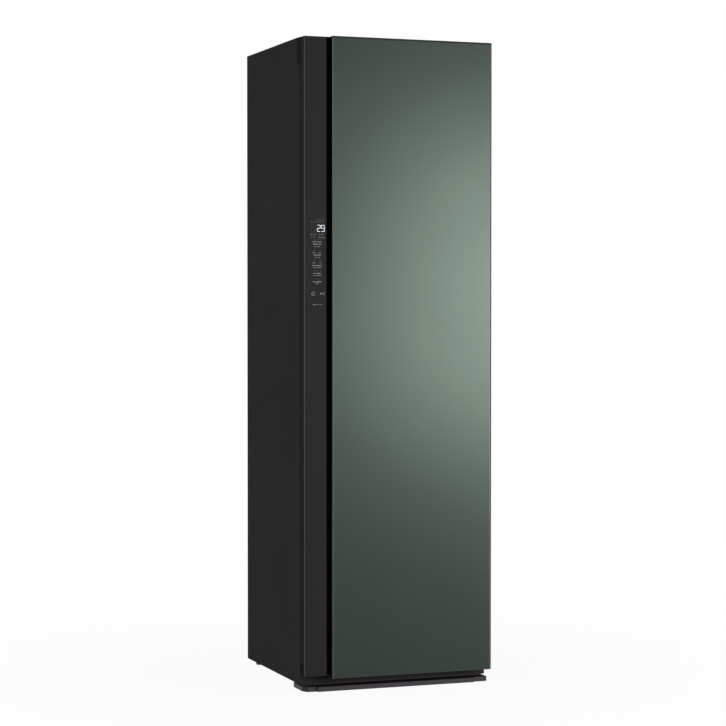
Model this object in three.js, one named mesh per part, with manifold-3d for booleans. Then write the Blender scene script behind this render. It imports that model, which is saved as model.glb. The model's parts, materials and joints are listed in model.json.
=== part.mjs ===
// Clothes care steam cabinet: a tall free-standing closet with one full-height door.
// Millimetres, X to the right, Y to the back, Z up. The origin is on the floor, under the middle.
import * as THREE from 'three';
import { mergeVertices } from 'three/addons/utils/BufferGeometryUtils.js';
import Module from 'manifold-3d';

const wasm = await Module();
wasm.setup();

// Driving sizes of the whole cabinet
const cabinet = {
  width: 600,
  height: 1960,
  depth: 596,
  sheet: 1, // steel sheet of the outer skin
  bottom: 19, // underside of the body above the floor
  rearSpacer: 6, // the spacers hold the back panel off the wall
};
const gap = 0.3; // between pieces that seat on each other
const overrun = 5; // how far a cutting shape runs past what it cuts

// The door, from its painted front panel to the gasket
const door = {
  panelProud: 12, // the panel stands in front of the control strip
  bodyDepth: 36, // from the control strip's face to the rear of the door
  seam: 5, // between the rear of the door and the cabinet, bridged by the gasket
  stripWidth: 72,
  gripWidth: 13, // visible width of the finger groove
  gripDepth: 24, // from the strip's face to the floor of the groove
  gripUndercut: 20, // how far the groove reaches behind the panel
  stripBottom: 49,
  panelBottom: 41,
  stripTopInset: 2, // the strip ends a little lower than the panel
  sheet: 1,
  wall: 2.7,
  liner: 2,
  capHeight: 36, // lower end cap
};

// Hinges at the door's right side
const hinge = {
  bossWall: 1.4, // beside the pin's bore
  back: 34, // from the door's face to the axis
  plate: 4,
  halfWidth: 8,
  footThickness: 3,
  footHeight: 12,
  pinRadius: 4,
  pinLength: 13,
  bossHeight: 15,
  notchHeight: 15,
  notchRadius: 18,
};

// Steam chamber and the bay for the two water tanks
const chamber = {
  floor: 450,
  sideSpace: 44, // from the cabinet's side to the inside of the chamber
  topSpace: 80,
  rearSpace: 57,
  wall: 2,
  slab: 3, // thickness of the floor and of the ceiling
};
const bay = {
  midRail: 40, // part of the front frame between the chamber and the bay
  headroom: 14, // above the tanks
  depth: 103,
  wall: 3,
};
const frame = {
  thickness: 10,
  flange: 18, // front return of the side panels, beside the frame
  rearFlange: 15,
};

// Planes and edges worked out from the sizes above
const half = cabinet.width / 2;
const panelFace = -cabinet.depth / 2;
const wallFace = cabinet.depth / 2;
const stripFace = panelFace + door.panelProud;
const doorRear = stripFace + door.bodyDepth;
const bodyFront = doorRear + door.seam;
const bodyRear = wallFace - cabinet.rearSpacer;
const frameRear = bodyFront + frame.thickness;
const frameHalf = half - frame.flange - gap;
const chamberHalf = half - chamber.sideSpace;
const chamberCeiling = cabinet.height - chamber.topSpace;
const chamberBack = bodyRear - chamber.rearSpace;
const bayTop = chamber.floor - bay.midRail;
const stripRight = -half + door.stripWidth;
const panelLeft = stripRight + door.gripWidth;
const panelRight = half - door.wall - gap;
const stripTop = cabinet.height - door.stripTopInset;
const hingeX = panelRight - door.sheet - gap - hinge.bossWall - gap - hinge.pinRadius;
const hingeY = panelFace + hinge.back;

// Finishes
const finish = (color, roughness, metalness) => ({ color, roughness, metalness });
const finishes = {
  green: finish(0x4b5650, 0.38, 0.35),
  charcoal: finish(0x2c2a2a, 0.5, 0.35),
  strip: finish(0x2c2c2d, 0.3, 0),
  black: finish(0x0b0b0b, 0.6, 0),
  base: finish(0x423e43, 0.6, 0),
  foot: finish(0x6a6a6c, 0.6, 0),
  zinc: finish(0x9a9c9e, 0.4, 0.9),
  liner: finish(0xc9cacb, 0.5, 0),
  foam: finish(0xe6e4de, 0.9, 0),
  rubber: finish(0x303030, 0.85, 0),
  tank: finish(0x5b6166, 0.25, 0),
  alloy: finish(0xb4b6b8, 0.35, 0.9),
  copper: finish(0xb06a42, 0.35, 0.9),
  board: finish(0x1f4a34, 0.5, 0),
  padding: finish(0x3c3d40, 0.9, 0),
};

// Shapes, joins and cuts
function toSolid(geometry) {
  const plain = geometry.clone();
  plain.deleteAttribute('normal');
  plain.deleteAttribute('uv');
  const merged = mergeVertices(plain);
  return new wasm.Manifold(new wasm.Mesh({
    numProp: 3,
    vertProperties: new Float32Array(merged.attributes.position.array),
    triVerts: new Uint32Array(merged.index.array),
  }));
}

function toGeometry(solid) {
  const mesh = solid.getMesh();
  const geometry = new THREE.BufferGeometry();
  geometry.setAttribute('position', new THREE.BufferAttribute(mesh.vertProperties, 3));
  geometry.setIndex(new THREE.BufferAttribute(mesh.triVerts, 1));
  return geometry;
}

const join = (first, ...rest) =>
  toGeometry(rest.reduce((solid, next) => solid.add(toSolid(next)), toSolid(first)));
const cut = (first, ...rest) =>
  toGeometry(rest.reduce((solid, next) => solid.subtract(toSolid(next)), toSolid(first)));

// A box between two values along each axis
function block([x0, x1], [y0, y1], [z0, z1]) {
  const box = new THREE.BoxGeometry(x1 - x0, y1 - y0, z1 - z0);
  return box.translate((x0 + x1) / 2, (y0 + y1) / 2, (z0 + z1) / 2);
}

// Turns a shape drawn flat and pulled along Z so that it is pulled along another axis.
// Along X the drawing holds (y, z), and along Y it holds (x, z).
const turns = {
  x: new THREE.Matrix4().makeBasis(
    new THREE.Vector3(0, 1, 0), new THREE.Vector3(0, 0, 1), new THREE.Vector3(1, 0, 0)),
  y: new THREE.Matrix4().makeBasis(
    new THREE.Vector3(1, 0, 0), new THREE.Vector3(0, 0, 1), new THREE.Vector3(0, -1, 0)),
  z: new THREE.Matrix4(),
};

function pull(axis, shape, from, to, curveSegments = 8) {
  const geometry = new THREE.ExtrudeGeometry(shape, {
    depth: to - from,
    bevelEnabled: false,
    curveSegments,
  });
  geometry.applyMatrix4(turns[axis]);
  const start = { x: [from, 0, 0], y: [0, to, 0], z: [0, 0, from] }[axis];
  return geometry.translate(...start);
}

const outline = (points) => new THREE.Shape(points.map(([u, v]) => new THREE.Vector2(u, v)));

function disc(u, v, radius) {
  const shape = new THREE.Shape();
  shape.absarc(u, v, radius, 0, 2 * Math.PI);
  return shape;
}

// A round bar or a round cutter along an axis, centred on the other two coordinates
const rod = (axis, [u, v], radius, from, to, curveSegments = 12) =>
  pull(axis, disc(u, v, radius), from, to, curveSegments);

// A tube along a smooth line through points, closed at both ends
function tube(points, radius, steps, sides = 4) {
  const path = new THREE.CatmullRomCurve3(points.map((p) => new THREE.Vector3(...p)));
  return new THREE.ExtrudeGeometry(disc(0, 0, radius), {
    steps,
    extrudePath: path,
    curveSegments: sides,
  });
}

// Puts a piece into its assembly: the mesh stands at the middle of its own geometry
function addPiece(assembly, name, geometry, look) {
  const flat = geometry.index ? geometry.toNonIndexed() : geometry;
  flat.computeVertexNormals();
  flat.computeBoundingBox();
  const middle = flat.boundingBox.getCenter(new THREE.Vector3());
  flat.translate(-middle.x, -middle.y, -middle.z);
  const mesh = new THREE.Mesh(flat, new THREE.MeshStandardMaterial(look));
  mesh.name = name;
  mesh.position.copy(middle);
  assembly.add(mesh);
  return mesh;
}

const mirrored = (side, [a, b]) => (side < 0 ? [-b, -a] : [a, b]);
const sides = [['left', -1], ['right', 1]];

// Corner caps at the top of the front, let into notches of the side panels
const cornerCap = { depth: 26.4, height: 83, wall: 2.5, sunk: 0.6 };

function sidePanel(side) {
  const flat = (distance) => side * distance;
  const profile = outline([
    [flat(half), bodyFront],
    [flat(half), bodyRear],
    [flat(half - frame.rearFlange), bodyRear],
    [flat(half - frame.rearFlange), bodyRear - cabinet.sheet],
    [flat(half - cabinet.sheet), bodyRear - cabinet.sheet],
    [flat(half - cabinet.sheet), bodyFront + cabinet.sheet],
    [flat(half - frame.flange), bodyFront + cabinet.sheet],
    [flat(half - frame.flange), bodyFront],
  ]);
  const notch = block(
    mirrored(side, [half - frame.flange - overrun, half + overrun]),
    [bodyFront - overrun, bodyFront + cornerCap.depth],
    [cabinet.height - cornerCap.height, cabinet.height + overrun]);
  return cut(pull('z', profile, cabinet.bottom, cabinet.height), notch);
}

function cornerCapPiece(side) {
  const outer = half - cornerCap.sunk;
  const inner = half - frame.flange;
  const front = bodyFront + cornerCap.sunk;
  const rear = bodyFront + cornerCap.depth - gap;
  const top = cabinet.height - gap;
  const bottom = cabinet.height - cornerCap.height + gap;
  const hollow = block(
    mirrored(side, [inner - overrun, outer - cornerCap.wall]),
    [front + cornerCap.wall, rear + overrun],
    [bottom - overrun, top - cornerCap.wall]);
  return cut(block(mirrored(side, [inner, outer]), [front, rear], [bottom, top]), hollow);
}

// Top panel: a flat tray with turned-down sides, cut back around the corner caps
const topPanel = { lip: 12 };

function topPanelPiece() {
  const edge = half - cabinet.sheet - gap;
  const front = bodyFront + cabinet.sheet + gap;
  const rear = bodyRear - cabinet.sheet - gap;
  const top = cabinet.height;
  const plate = block([-edge, edge], [bodyFront, rear], [top - cabinet.sheet, top]);
  const lips = sides.map(([, side]) => block(
    mirrored(side, [edge - cabinet.sheet, edge]), [front, rear],
    [top - cabinet.sheet - topPanel.lip, top]));
  const corners = sides.map(([, side]) => block(
    mirrored(side, [half - frame.flange - gap, half + overrun]),
    [bodyFront - overrun, bodyFront + cornerCap.depth],
    [top - cabinet.sheet - topPanel.lip - overrun, top + overrun]));
  return cut(join(plate, ...lips), ...corners);
}

// Back panel with cooling slots, a hole for the mains lead and two spacers
const backPanel = {
  slotLength: 180, slotHeight: 6, slotPitch: 18, slotRows: 9, slotBottom: 110, slotInset: 150,
  spacerWidth: 60, spacerHeight: 90, spacerInset: 110, spacerDrop: 140,
};
const inlet = {
  inset: 100, z: 120, bore: 11, collar: 18, collarThickness: 3, inside: 22, lead: 4.5,
};
const inletX = -half + inlet.inset;
const spacerX = half - backPanel.spacerInset;
const spacerTop = cabinet.height - backPanel.spacerDrop;
const slotCentre = half - backPanel.slotInset;

function backPanelPiece() {
  const front = bodyRear - cabinet.sheet;
  const edge = half - frame.rearFlange - gap;
  const sheet = block([-edge, edge], [front, bodyRear],
    [cabinet.bottom, cabinet.height - cabinet.sheet - gap]);
  const spacers = sides.map(([, side]) => block(
    mirrored(side, [spacerX - backPanel.spacerWidth / 2, spacerX + backPanel.spacerWidth / 2]),
    [front, wallFace],
    [spacerTop - backPanel.spacerHeight, spacerTop]));
  const through = [front - overrun, bodyRear + overrun];
  const slots = Array.from({ length: backPanel.slotRows }, (_, row) => {
    const z = backPanel.slotBottom + row * backPanel.slotPitch;
    return block([slotCentre - backPanel.slotLength / 2, slotCentre + backPanel.slotLength / 2],
      through, [z, z + backPanel.slotHeight]);
  });
  const hole = rod('y', [inletX, inlet.z], inlet.bore, ...through);
  return cut(join(sheet, ...spacers), hole, ...slots);
}

// Gland for the mains lead: a collar outside, a nut inside and the bore for the lead
function inletPiece() {
  const centre = [inletX, inlet.z];
  const rear = bodyRear + gap;
  const front = bodyRear - cabinet.sheet - gap;
  const body = rod('y', centre, inlet.bore - gap, front - inlet.inside, rear + inlet.collarThickness);
  const collar = rod('y', centre, inlet.collar, rear, rear + inlet.collarThickness);
  const nut = rod('y', centre, inlet.collar, front - inlet.collarThickness, front, 2);
  const bore = rod('y', centre, inlet.lead, front - inlet.inside - overrun,
    rear + inlet.collarThickness + overrun, 6);
  return cut(join(body, collar, nut), bore);
}

// Base: steel tray, kick plate, foot covers, rear feet and levelling feet
const tray = { sheet: 2, rim: 25 };
const foot = {
  side: 21, // from the cabinet's side to the screw
  front: 23, // from the body's front to the screw
  padRadius: 13, padHeight: 5, screwRadius: 4, screwTop: 34, clearance: 1,
};
const cover = {
  floorGap: 1, // between the covers and the floor, which the feet bridge
  top: 15.5,
  neckInset: 7,
  sideInset: 3.2, // from the cabinet's sides to the covers
  cornerDepth: 73, // from the body's front to the rear of the corner covers
  cornerProud: 29, // in front of the body
  barDepth: 40,
  barProud: 37.7,
  barFacet: 4.6, // how far the bar's slanted ends reach along X
  leftWidth: 39.9, // from the cabinet's side to the bar
  rightWidth: 44.7,
};
// What is cut off a corner cover's outer front corner
const coverFacets = {
  left: { width: 12, depth: 19.5 },
  right: { width: 3.4, depth: 3.4 },
};
const rearFoot = { side: 34, rear: 23, padRadius: 11.5, topRadius: 16, segments: 24 };
const footX = half - foot.side;
const footY = bodyFront + foot.front;
const barLeft = -half + cover.leftWidth;
const barRight = half - cover.rightWidth;
const barRear = bodyFront + cover.barDepth;
const cornerRear = bodyFront + cover.cornerDepth;
const rearFootX = half - rearFoot.side;
const rearFootY = bodyRear - rearFoot.rear;

function trayPiece() {
  const edge = half - cabinet.sheet - gap;
  const front = bodyFront + cabinet.sheet + gap;
  const rear = bodyRear - cabinet.sheet - gap;
  const bottom = cabinet.bottom;
  const outer = block([-edge, edge], [front, rear], [bottom, bottom + tray.rim]);
  const inner = block([-edge + tray.sheet, edge - tray.sheet],
    [front + tray.sheet, rear - tray.sheet], [bottom + tray.sheet, bottom + tray.rim + overrun]);
  const holes = sides.map(([, side]) => rod('z', [side * footX, footY],
    foot.screwRadius + foot.clearance, bottom - overrun, bottom + tray.sheet + overrun));
  return cut(outer, inner, ...holes);
}

const kickPlatePiece = () => block(
  [-frameHalf, frameHalf], [bodyFront, bodyFront + cabinet.sheet],
  [cabinet.bottom, door.stripBottom - hinge.plate]);

function coverCornerPiece(name, side) {
  const outer = half - cover.sideInset;
  const inner = side < 0 ? -barLeft + gap : barRight + gap;
  const front = bodyFront - cover.cornerProud;
  const facet = coverFacets[name];
  const plan = outline([
    [side * inner, front],
    [side * (outer - facet.width), front],
    [side * outer, front + facet.depth],
    [side * outer, cornerRear],
    [side * inner, cornerRear],
  ]);
  const slab = pull('z', plan, cover.floorGap, cover.top);
  const neck = block(
    mirrored(side, [inner, outer - cover.neckInset]),
    [bodyFront + cover.neckInset, cornerRear - cover.neckInset],
    [cover.floorGap, cabinet.bottom - gap]);
  const centre = [side * footX, footY];
  const pocket = rod('z', centre, foot.padRadius + foot.clearance,
    cover.floorGap - overrun, foot.padHeight + foot.clearance);
  const bore = rod('z', centre, foot.screwRadius + gap, cover.floorGap - overrun,
    cabinet.bottom + overrun);
  return cut(join(slab, neck), pocket, bore);
}

function coverBarPiece() {
  const front = bodyFront - cover.barProud;
  const cornerFront = bodyFront - cover.cornerProud;
  const plan = outline([
    [barLeft, barRear],
    [barLeft, cornerFront],
    [barLeft + cover.barFacet, front],
    [barRight - cover.barFacet, front],
    [barRight, cornerFront],
    [barRight, barRear],
  ]);
  const slab = pull('z', plan, cover.floorGap, cover.top);
  const neck = block([barLeft, barRight],
    [bodyFront + cover.neckInset, barRear - cover.neckInset],
    [cover.floorGap, cabinet.bottom - gap]);
  return join(slab, neck);
}

// A moulded foot, a round cup that narrows to the floor
function rearFootPiece(side) {
  const height = cabinet.bottom - gap;
  const cup = new THREE.CylinderGeometry(
    rearFoot.topRadius, rearFoot.padRadius, height, rearFoot.segments);
  cup.rotateX(Math.PI / 2);
  return join(cup.translate(side * rearFootX, rearFootY, height / 2));
}

function levellingFootPiece(side) {
  const centre = [side * footX, footY];
  return join(
    rod('z', centre, foot.padRadius, 0, foot.padHeight),
    rod('z', centre, foot.screwRadius, 0, foot.screwTop));
}

// Front frame round the chamber's mouth and the tank bay
function frontFramePiece() {
  const through = [bodyFront - overrun, frameRear + overrun];
  const plate = block([-frameHalf, frameHalf], [bodyFront, frameRear],
    [door.stripBottom - hinge.plate + gap, cabinet.height - cabinet.sheet - gap]);
  const mouth = block([-chamberHalf, chamberHalf], through, [chamber.floor, chamberCeiling]);
  const tanks = block([-chamberHalf, chamberHalf], through, [bayBottom, bayTop]);
  const kerb = block([-half, half], [bodyFront + cabinet.sheet, frameRear + overrun],
    [0, cabinet.bottom + tray.rim + gap]);
  return cut(plate, mouth, tanks, kerb);
}

// Walls of the steam chamber
const floorHoles = {
  slotLength: 60, slotWidth: 6, slotPitch: 14, slotCount: 12, rearSpace: 13, ductInset: 22,
};
const filter = {
  halfWidth: 110, frontSpace: 20, length: 65, depth: 25, flange: 6, flangeHeight: 3, clearance: 1,
  wall: 2, grip: 26, gripHeight: 8,
};
const steam = { side: 160, rearSpace: 13, radius: 7 };
const crank = {
  radius: 24, thickness: 5, pinRadius: 3.5, throw: 12, pinLength: 2.5, shaftRadius: 6,
  clearance: 1, // round the shaft
  play: 0.5, // between the pin and the slider
};

const chamberFrontPlane = frameRear + gap;
const chamberRearPlane = chamberBack + gap + chamber.wall;
const chamberOuter = chamberHalf + chamber.wall;
const filterFront = frameRear + filter.frontSpace;
const filterRear = filterFront + filter.length;
const steamX = -half + steam.side;
const steamY = chamberBack - steam.rearSpace;
const slotRear = chamberBack - floorHoles.rearSpace;

const chamberSidePiece = (side) => block(
  mirrored(side, [chamberHalf, chamberOuter]),
  [chamberFrontPlane, chamberBack], [chamber.floor + gap, chamberCeiling - gap]);

const chamberBackPiece = () => block(
  [-chamberOuter, chamberOuter], [chamberBack + gap, chamberRearPlane],
  [chamber.floor + gap, chamberCeiling - gap]);

function ceilingPiece() {
  const slab = block([-chamberOuter, chamberOuter], [chamberFrontPlane, chamberRearPlane],
    [chamberCeiling, chamberCeiling + chamber.slab]);
  const hole = rod('z', [0, 0], crank.shaftRadius + crank.clearance,
    chamberCeiling - overrun, chamberCeiling + chamber.slab + overrun);
  return cut(slab, hole);
}

function chamberFloorPiece() {
  const through = [chamber.floor - chamber.slab - overrun, chamber.floor + overrun];
  const slab = block([-chamberOuter, chamberOuter], [chamberFrontPlane, chamberRearPlane],
    [chamber.floor - chamber.slab, chamber.floor]);
  const well = block(
    [-filter.halfWidth - filter.clearance, filter.halfWidth + filter.clearance],
    [filterFront - filter.clearance, filterRear + filter.clearance], through);
  const slots = Array.from({ length: floorHoles.slotCount }, (_, n) => {
    const x = ductLeft + floorHoles.ductInset + n * floorHoles.slotPitch;
    return block([x, x + floorHoles.slotWidth],
      [slotRear - floorHoles.slotLength, slotRear], through);
  });
  const steamHole = rod('z', [steamX, steamY], steam.radius + gap, ...through);
  return cut(slab, well, steamHole, ...slots);
}

// Lint filter: a shallow open cassette hung in the well by its flange
function filterPiece() {
  const bottom = chamber.floor - filter.depth;
  const top = chamber.floor + gap + filter.flangeHeight;
  const basket = block([-filter.halfWidth, filter.halfWidth], [filterFront, filterRear],
    [bottom, top]);
  const flange = block(
    [-filter.halfWidth - filter.flange, filter.halfWidth + filter.flange],
    [filterFront - filter.flange, filterRear + filter.flange], [chamber.floor + gap, top]);
  const inside = block([-filter.halfWidth + filter.wall, filter.halfWidth - filter.wall],
    [filterFront + filter.wall, filterRear - filter.wall],
    [bottom + filter.wall, top + overrun]);
  const middle = (filterFront + filterRear) / 2;
  const bridge = block([-filter.grip / 2, filter.grip / 2],
    [filterFront, filterRear], [top - filter.flangeHeight, top]);
  const tab = block([-filter.grip / 2, filter.grip / 2],
    [middle - filter.wall, middle + filter.wall], [top - filter.flangeHeight, top + filter.gripHeight]);
  return join(cut(join(basket, flange), inside), bridge, tab);
}

// Shelf: a slotted plate on four short legs
const shelf = {
  sideSpace: 10, frontSpace: 115, rearSpace: 7, thickness: 12, legHeight: 28, legSize: 18,
  border: 26, slotWidth: 12, slotPitch: 30,
};
const shelfHalf = chamberHalf - shelf.sideSpace;
const shelfFront = frameRear + shelf.frontSpace;
const shelfRear = chamberBack - shelf.rearSpace;

function shelfPiece() {
  const bottom = chamber.floor + gap + shelf.legHeight;
  const top = bottom + shelf.thickness;
  const plate = block([-shelfHalf, shelfHalf], [shelfFront, shelfRear],
    [bottom, top]);
  const room = 2 * (shelfHalf - shelf.border) - shelf.slotWidth;
  const count = Math.floor(room / shelf.slotPitch) + 1;
  const first = -((count - 1) * shelf.slotPitch + shelf.slotWidth) / 2;
  const slots = Array.from({ length: count }, (_, n) => {
    const x = first + n * shelf.slotPitch;
    return block([x, x + shelf.slotWidth],
      [shelfFront + shelf.border, shelfRear - shelf.border],
      [bottom - overrun, top + overrun]);
  });
  const legs = sides.flatMap(([, side]) => [shelfFront, shelfRear - shelf.legSize].map((y) => block(
    mirrored(side, [shelfHalf - shelf.legSize, shelfHalf]),
    [y, y + shelf.legSize], [chamber.floor + gap, bottom + shelf.thickness / 2])));
  return join(cut(plate, ...slots), ...legs);
}

// Moving hanger rail: carrier tray under the ceiling, slider with the rail, crank and motor
const carrier = {
  sideSpace: 36, halfWidth: 45, height: 28, wall: 8, web: 3.6, slotInset: 30, slotHalfWidth: 8,
};
const slider = {
  endSpace: 50, // from the carrier's end to the slider's end
  sideSpace: 7, thickness: 6, stemInset: 50, stem: 10, yokeLength: 44, yokeWidth: 7.6,
};
const rail = { radius: 8, sideSpace: 41, drop: 65 };
const railMotor = { halfLength: 45, halfWidth: 32, height: 46 };

const carrierHalf = chamberHalf - carrier.sideSpace;
const carrierSlotHalf = carrierHalf - carrier.slotInset;
const sliderHalf = carrierHalf - slider.endSpace;
const sliderHalfWidth = carrier.halfWidth - carrier.wall - slider.sideSpace;
const stemX = sliderHalf - slider.stemInset;
const railHalf = chamberHalf - rail.sideSpace;
const railZ = chamberCeiling - rail.drop;
const carrierTop = chamberCeiling - gap;
const carrierBottom = carrierTop - carrier.height;
const sliderBottom = carrierBottom + carrier.web + gap;
const sliderTop = sliderBottom + slider.thickness;
const discBottom = sliderTop + crank.play + crank.pinLength;

function carrierPiece() {
  const outer = block([-carrierHalf, carrierHalf],
    [-carrier.halfWidth, carrier.halfWidth], [carrierBottom, carrierTop]);
  const inner = block(
    [-carrierHalf + carrier.wall, carrierHalf - carrier.wall],
    [-carrier.halfWidth + carrier.wall, carrier.halfWidth - carrier.wall],
    [carrierBottom + carrier.web, carrierTop + overrun]);
  const slot = block([-carrierSlotHalf, carrierSlotHalf],
    [-carrier.slotHalfWidth, carrier.slotHalfWidth], [carrierBottom - overrun, carrierTop]);
  return cut(outer, inner, slot);
}

function railPiece() {
  const plate = block([-sliderHalf, sliderHalf],
    [-sliderHalfWidth, sliderHalfWidth], [sliderBottom, sliderTop]);
  const yoke = block([-slider.yokeWidth / 2, slider.yokeWidth / 2],
    [-slider.yokeLength / 2, slider.yokeLength / 2], [sliderBottom - overrun, sliderTop + overrun]);
  const stems = sides.map(([, side]) => block(
    mirrored(side, [stemX - slider.stem / 2, stemX + slider.stem / 2]),
    [-slider.stem / 2, slider.stem / 2], [railZ, sliderTop]));
  const bar = rod('x', [0, railZ], rail.radius, -railHalf, railHalf, 8);
  return join(cut(plate, yoke), ...stems, bar);
}

function crankPiece() {
  return join(
    rod('z', [0, 0], crank.radius, discBottom, discBottom + crank.thickness),
    rod('z', [0, 0], crank.shaftRadius, discBottom, chamberCeiling + chamber.slab),
    rod('z', [0, crank.throw], crank.pinRadius, discBottom - crank.pinLength,
      discBottom + crank.thickness / 2));
}

const railMotorPiece = () => block([-railMotor.halfLength, railMotor.halfLength],
  [-railMotor.halfWidth, railMotor.halfWidth],
  [chamberCeiling + chamber.slab + gap, chamberCeiling + chamber.slab + gap + railMotor.height]);

// Coat hanger: a wire hook over the rail and moulded shoulders. Shoulders lie front to back.
const hanger = {
  stemSpace: 50, // along the rail, from the stem to the hook
  wallSpace: 35, // from the chamber's back to the hanger's tip
  wire: 2.5, play: 0.4, neck: 62, drop: 66, armTop: 8, armHeight: 24, tipHeight: 14,
  thickness: 12, boss: 7,
};
const hangerX = stemX - hanger.stemSpace;
const hangerSpan = chamberBack - hanger.wallSpace;

function hangerPiece(side) {
  const bend = rail.radius + hanger.play + hanger.wire;
  const x = side * hangerX;
  const turn = (angle) => [x, bend * Math.cos(angle), railZ + bend * Math.sin(angle)];
  const arcStartShare = -0.12;
  const arcSteps = 8;
  const arc = Array.from({ length: arcSteps + 1 }, (_, n) =>
    turn(Math.PI * (arcStartShare + (1 - arcStartShare) * n / arcSteps)));
  const hook = tube([
    ...arc,
    [x, -bend, railZ - bend / 2],
    [x, -bend / 2, railZ - 2 * bend],
    [x, 0, railZ - 3 * bend],
    [x, 0, railZ - hanger.neck],
  ], hanger.wire, 28);
  const top = railZ - hanger.neck + hanger.armTop;
  const shoulders = new THREE.Shape();
  shoulders.moveTo(-hanger.boss, top);
  shoulders.lineTo(hanger.boss, top);
  shoulders.quadraticCurveTo(hangerSpan / 2, top - hanger.drop / 3,
    hangerSpan, top - hanger.drop);
  shoulders.lineTo(hangerSpan, top - hanger.drop - hanger.tipHeight);
  shoulders.quadraticCurveTo(hangerSpan / 2, top - hanger.drop / 3 - hanger.armHeight,
    0, top - hanger.armHeight);
  shoulders.quadraticCurveTo(-hangerSpan / 2, top - hanger.drop / 3 - hanger.armHeight,
    -hangerSpan, top - hanger.drop - hanger.tipHeight);
  shoulders.lineTo(-hangerSpan, top - hanger.drop);
  shoulders.quadraticCurveTo(-hangerSpan / 2, top - hanger.drop / 3, -hanger.boss, top);
  const arms = pull('x', shoulders, x - hanger.thickness / 2, x + hanger.thickness / 2);
  return join(arms, hook);
}

// Tank bay and the two water tanks
const tank = {
  front: 23, // from the body's front to the tanks
  side: 3, height: 236, wall: 2.5, fillRadius: 24, fillInset: 60,
  ribWidth: 14, ribProud: 7, ribHeight: 90, ribTop: 30, divider: 4,
};
const bayBottom = bayTop - bay.headroom - tank.height;
const bayHalf = chamberHalf - gap;
const bayRear = frameRear + gap + bay.depth;

function bayPiece() {
  const bottom = bayBottom - bay.wall;
  const top = bayTop - gap;
  const outer = block([-bayHalf, bayHalf], [frameRear + gap, bayRear], [bottom, top]);
  const inner = block([-bayHalf + bay.wall, bayHalf - bay.wall],
    [frameRear - overrun, bayRear - bay.wall], [bayBottom, top + overrun]);
  const divider = block([-tank.divider / 2, tank.divider / 2], [frameRear + gap, bayRear],
    [bottom, top]);
  return join(cut(outer, inner), divider);
}

function tankPiece(side) {
  const x = [tank.divider / 2 + tank.side, bayHalf - bay.wall - tank.side];
  const y = [bodyFront + tank.front, bayRear - bay.wall - tank.side];
  const z = [bayBottom + gap, bayBottom + gap + tank.height];
  const inset = tank.wall;
  const shell = cut(
    block(mirrored(side, x), y, z),
    block(mirrored(side, [x[0] + inset, x[1] - inset]), [y[0] + inset, y[1] - inset],
      [z[0] + inset, z[1] - inset]),
    rod('z', [side * (x[1] - tank.fillInset), (y[0] + y[1]) / 2], tank.fillRadius,
      z[1] - inset - overrun, z[1] + overrun));
  const middle = side * (x[0] + x[1]) / 2;
  const rib = block([middle - tank.ribWidth / 2, middle + tank.ribWidth / 2],
    [y[0] - tank.ribProud, y[0] + inset / 2],
    [z[1] - tank.ribTop - tank.ribHeight, z[1] - tank.ribTop]);
  return join(shell, rib);
}

// Machine room: compressor, air duct with its heat exchanger and blower, steam generator, pumps
const duct = {
  leftSpace: 238, rightSpace: 38, frontSpace: 175, rearSpace: 3, headroom: 17.4, wall: 3,
};
const exchanger = { blowerSpace: 14, ductSpace: 6, length: 130, height: 120 };
const compressor = {
  side: 105, // from the cabinet's side to its middle
  rearward: 1.5, // behind the middle of the free floor
  radius: 62, dome: 24, plate: 3, plateHalf: 78, rubber: 15, rubberRadius: 11,
  pipeSpace: 35, // from its top to the duct
};
const blower = {
  ductSpace: 6, radius: 92, wall: 3, height: 90, inletRadius: 52, shaftHole: 12, outletHalf: 45,
  motorRadius: 40, motorHeight: 36, shaftRadius: 5, shaftRise: 14,
  wheelGap: 11, wheelHeight: 56, hubRadius: 14, plate: 3, bladeCount: 12, bladeWidth: 3,
  bladeInner: 46,
};
const generator = {
  side: 160, forward: 33.5, halfLength: 60, halfWidth: 45, bottom: 62, height: 90, leg: 12,
};
const pump = {
  side: 150, frontSpace: 175, z: 92, radius: 22, length: 90, foot: 30, footLength: 60,
};
const board = { rearSpace: 52, length: 200, bottom: 90, height: 200, thickness: 58 };
const pipe = { radius: 5, rise: 14, turn: 18, portSide: 25, portForward: 80, clearance: 1 };

const ductLeft = -half + duct.leftSpace;
const ductRight = half - duct.rightSpace;
const ductFront = frameRear + duct.frontSpace;
const ductRear = chamberBack - duct.rearSpace;
const wheelRadius = blower.radius - blower.wall - blower.wheelGap;
const blowerX = ductLeft + blower.ductSpace + blower.radius;
const blowerY = (ductFront + ductRear) / 2;
const pumpX = half - pump.side;
const pumpY = frameRear + pump.frontSpace;
const freeMiddle = (pumpY + pump.length / 2 + bodyRear) / 2;
const generatorX = -half + generator.side;
const generatorY = freeMiddle - generator.forward;
const compressorX = half - compressor.side;
const compressorY = freeMiddle + compressor.rearward;
const portX = compressorX - pipe.portSide;
const portY = compressorY - pipe.portForward;
const ductTop = chamber.floor - chamber.slab - gap;
const blowerStack = gap + blower.motorHeight + gap + blower.height;
const ductBottom = ductTop - duct.headroom - blowerStack - duct.wall;
const trayFloor = cabinet.bottom + tray.sheet;
const ductFloor = ductBottom + duct.wall;
const compressorTop = ductBottom - compressor.pipeSpace;

function ductPiece() {
  const outer = block([ductLeft, ductRight], [ductFront, ductRear], [ductBottom, ductTop]);
  const inner = block([ductLeft + duct.wall, ductRight - duct.wall],
    [ductFront + duct.wall, ductRear - duct.wall], [ductFloor, ductTop + overrun]);
  const port = rod('z', [portX, portY], pipe.radius + pipe.clearance,
    ductBottom - overrun, ductFloor + overrun);
  return cut(outer, inner, port);
}

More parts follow.
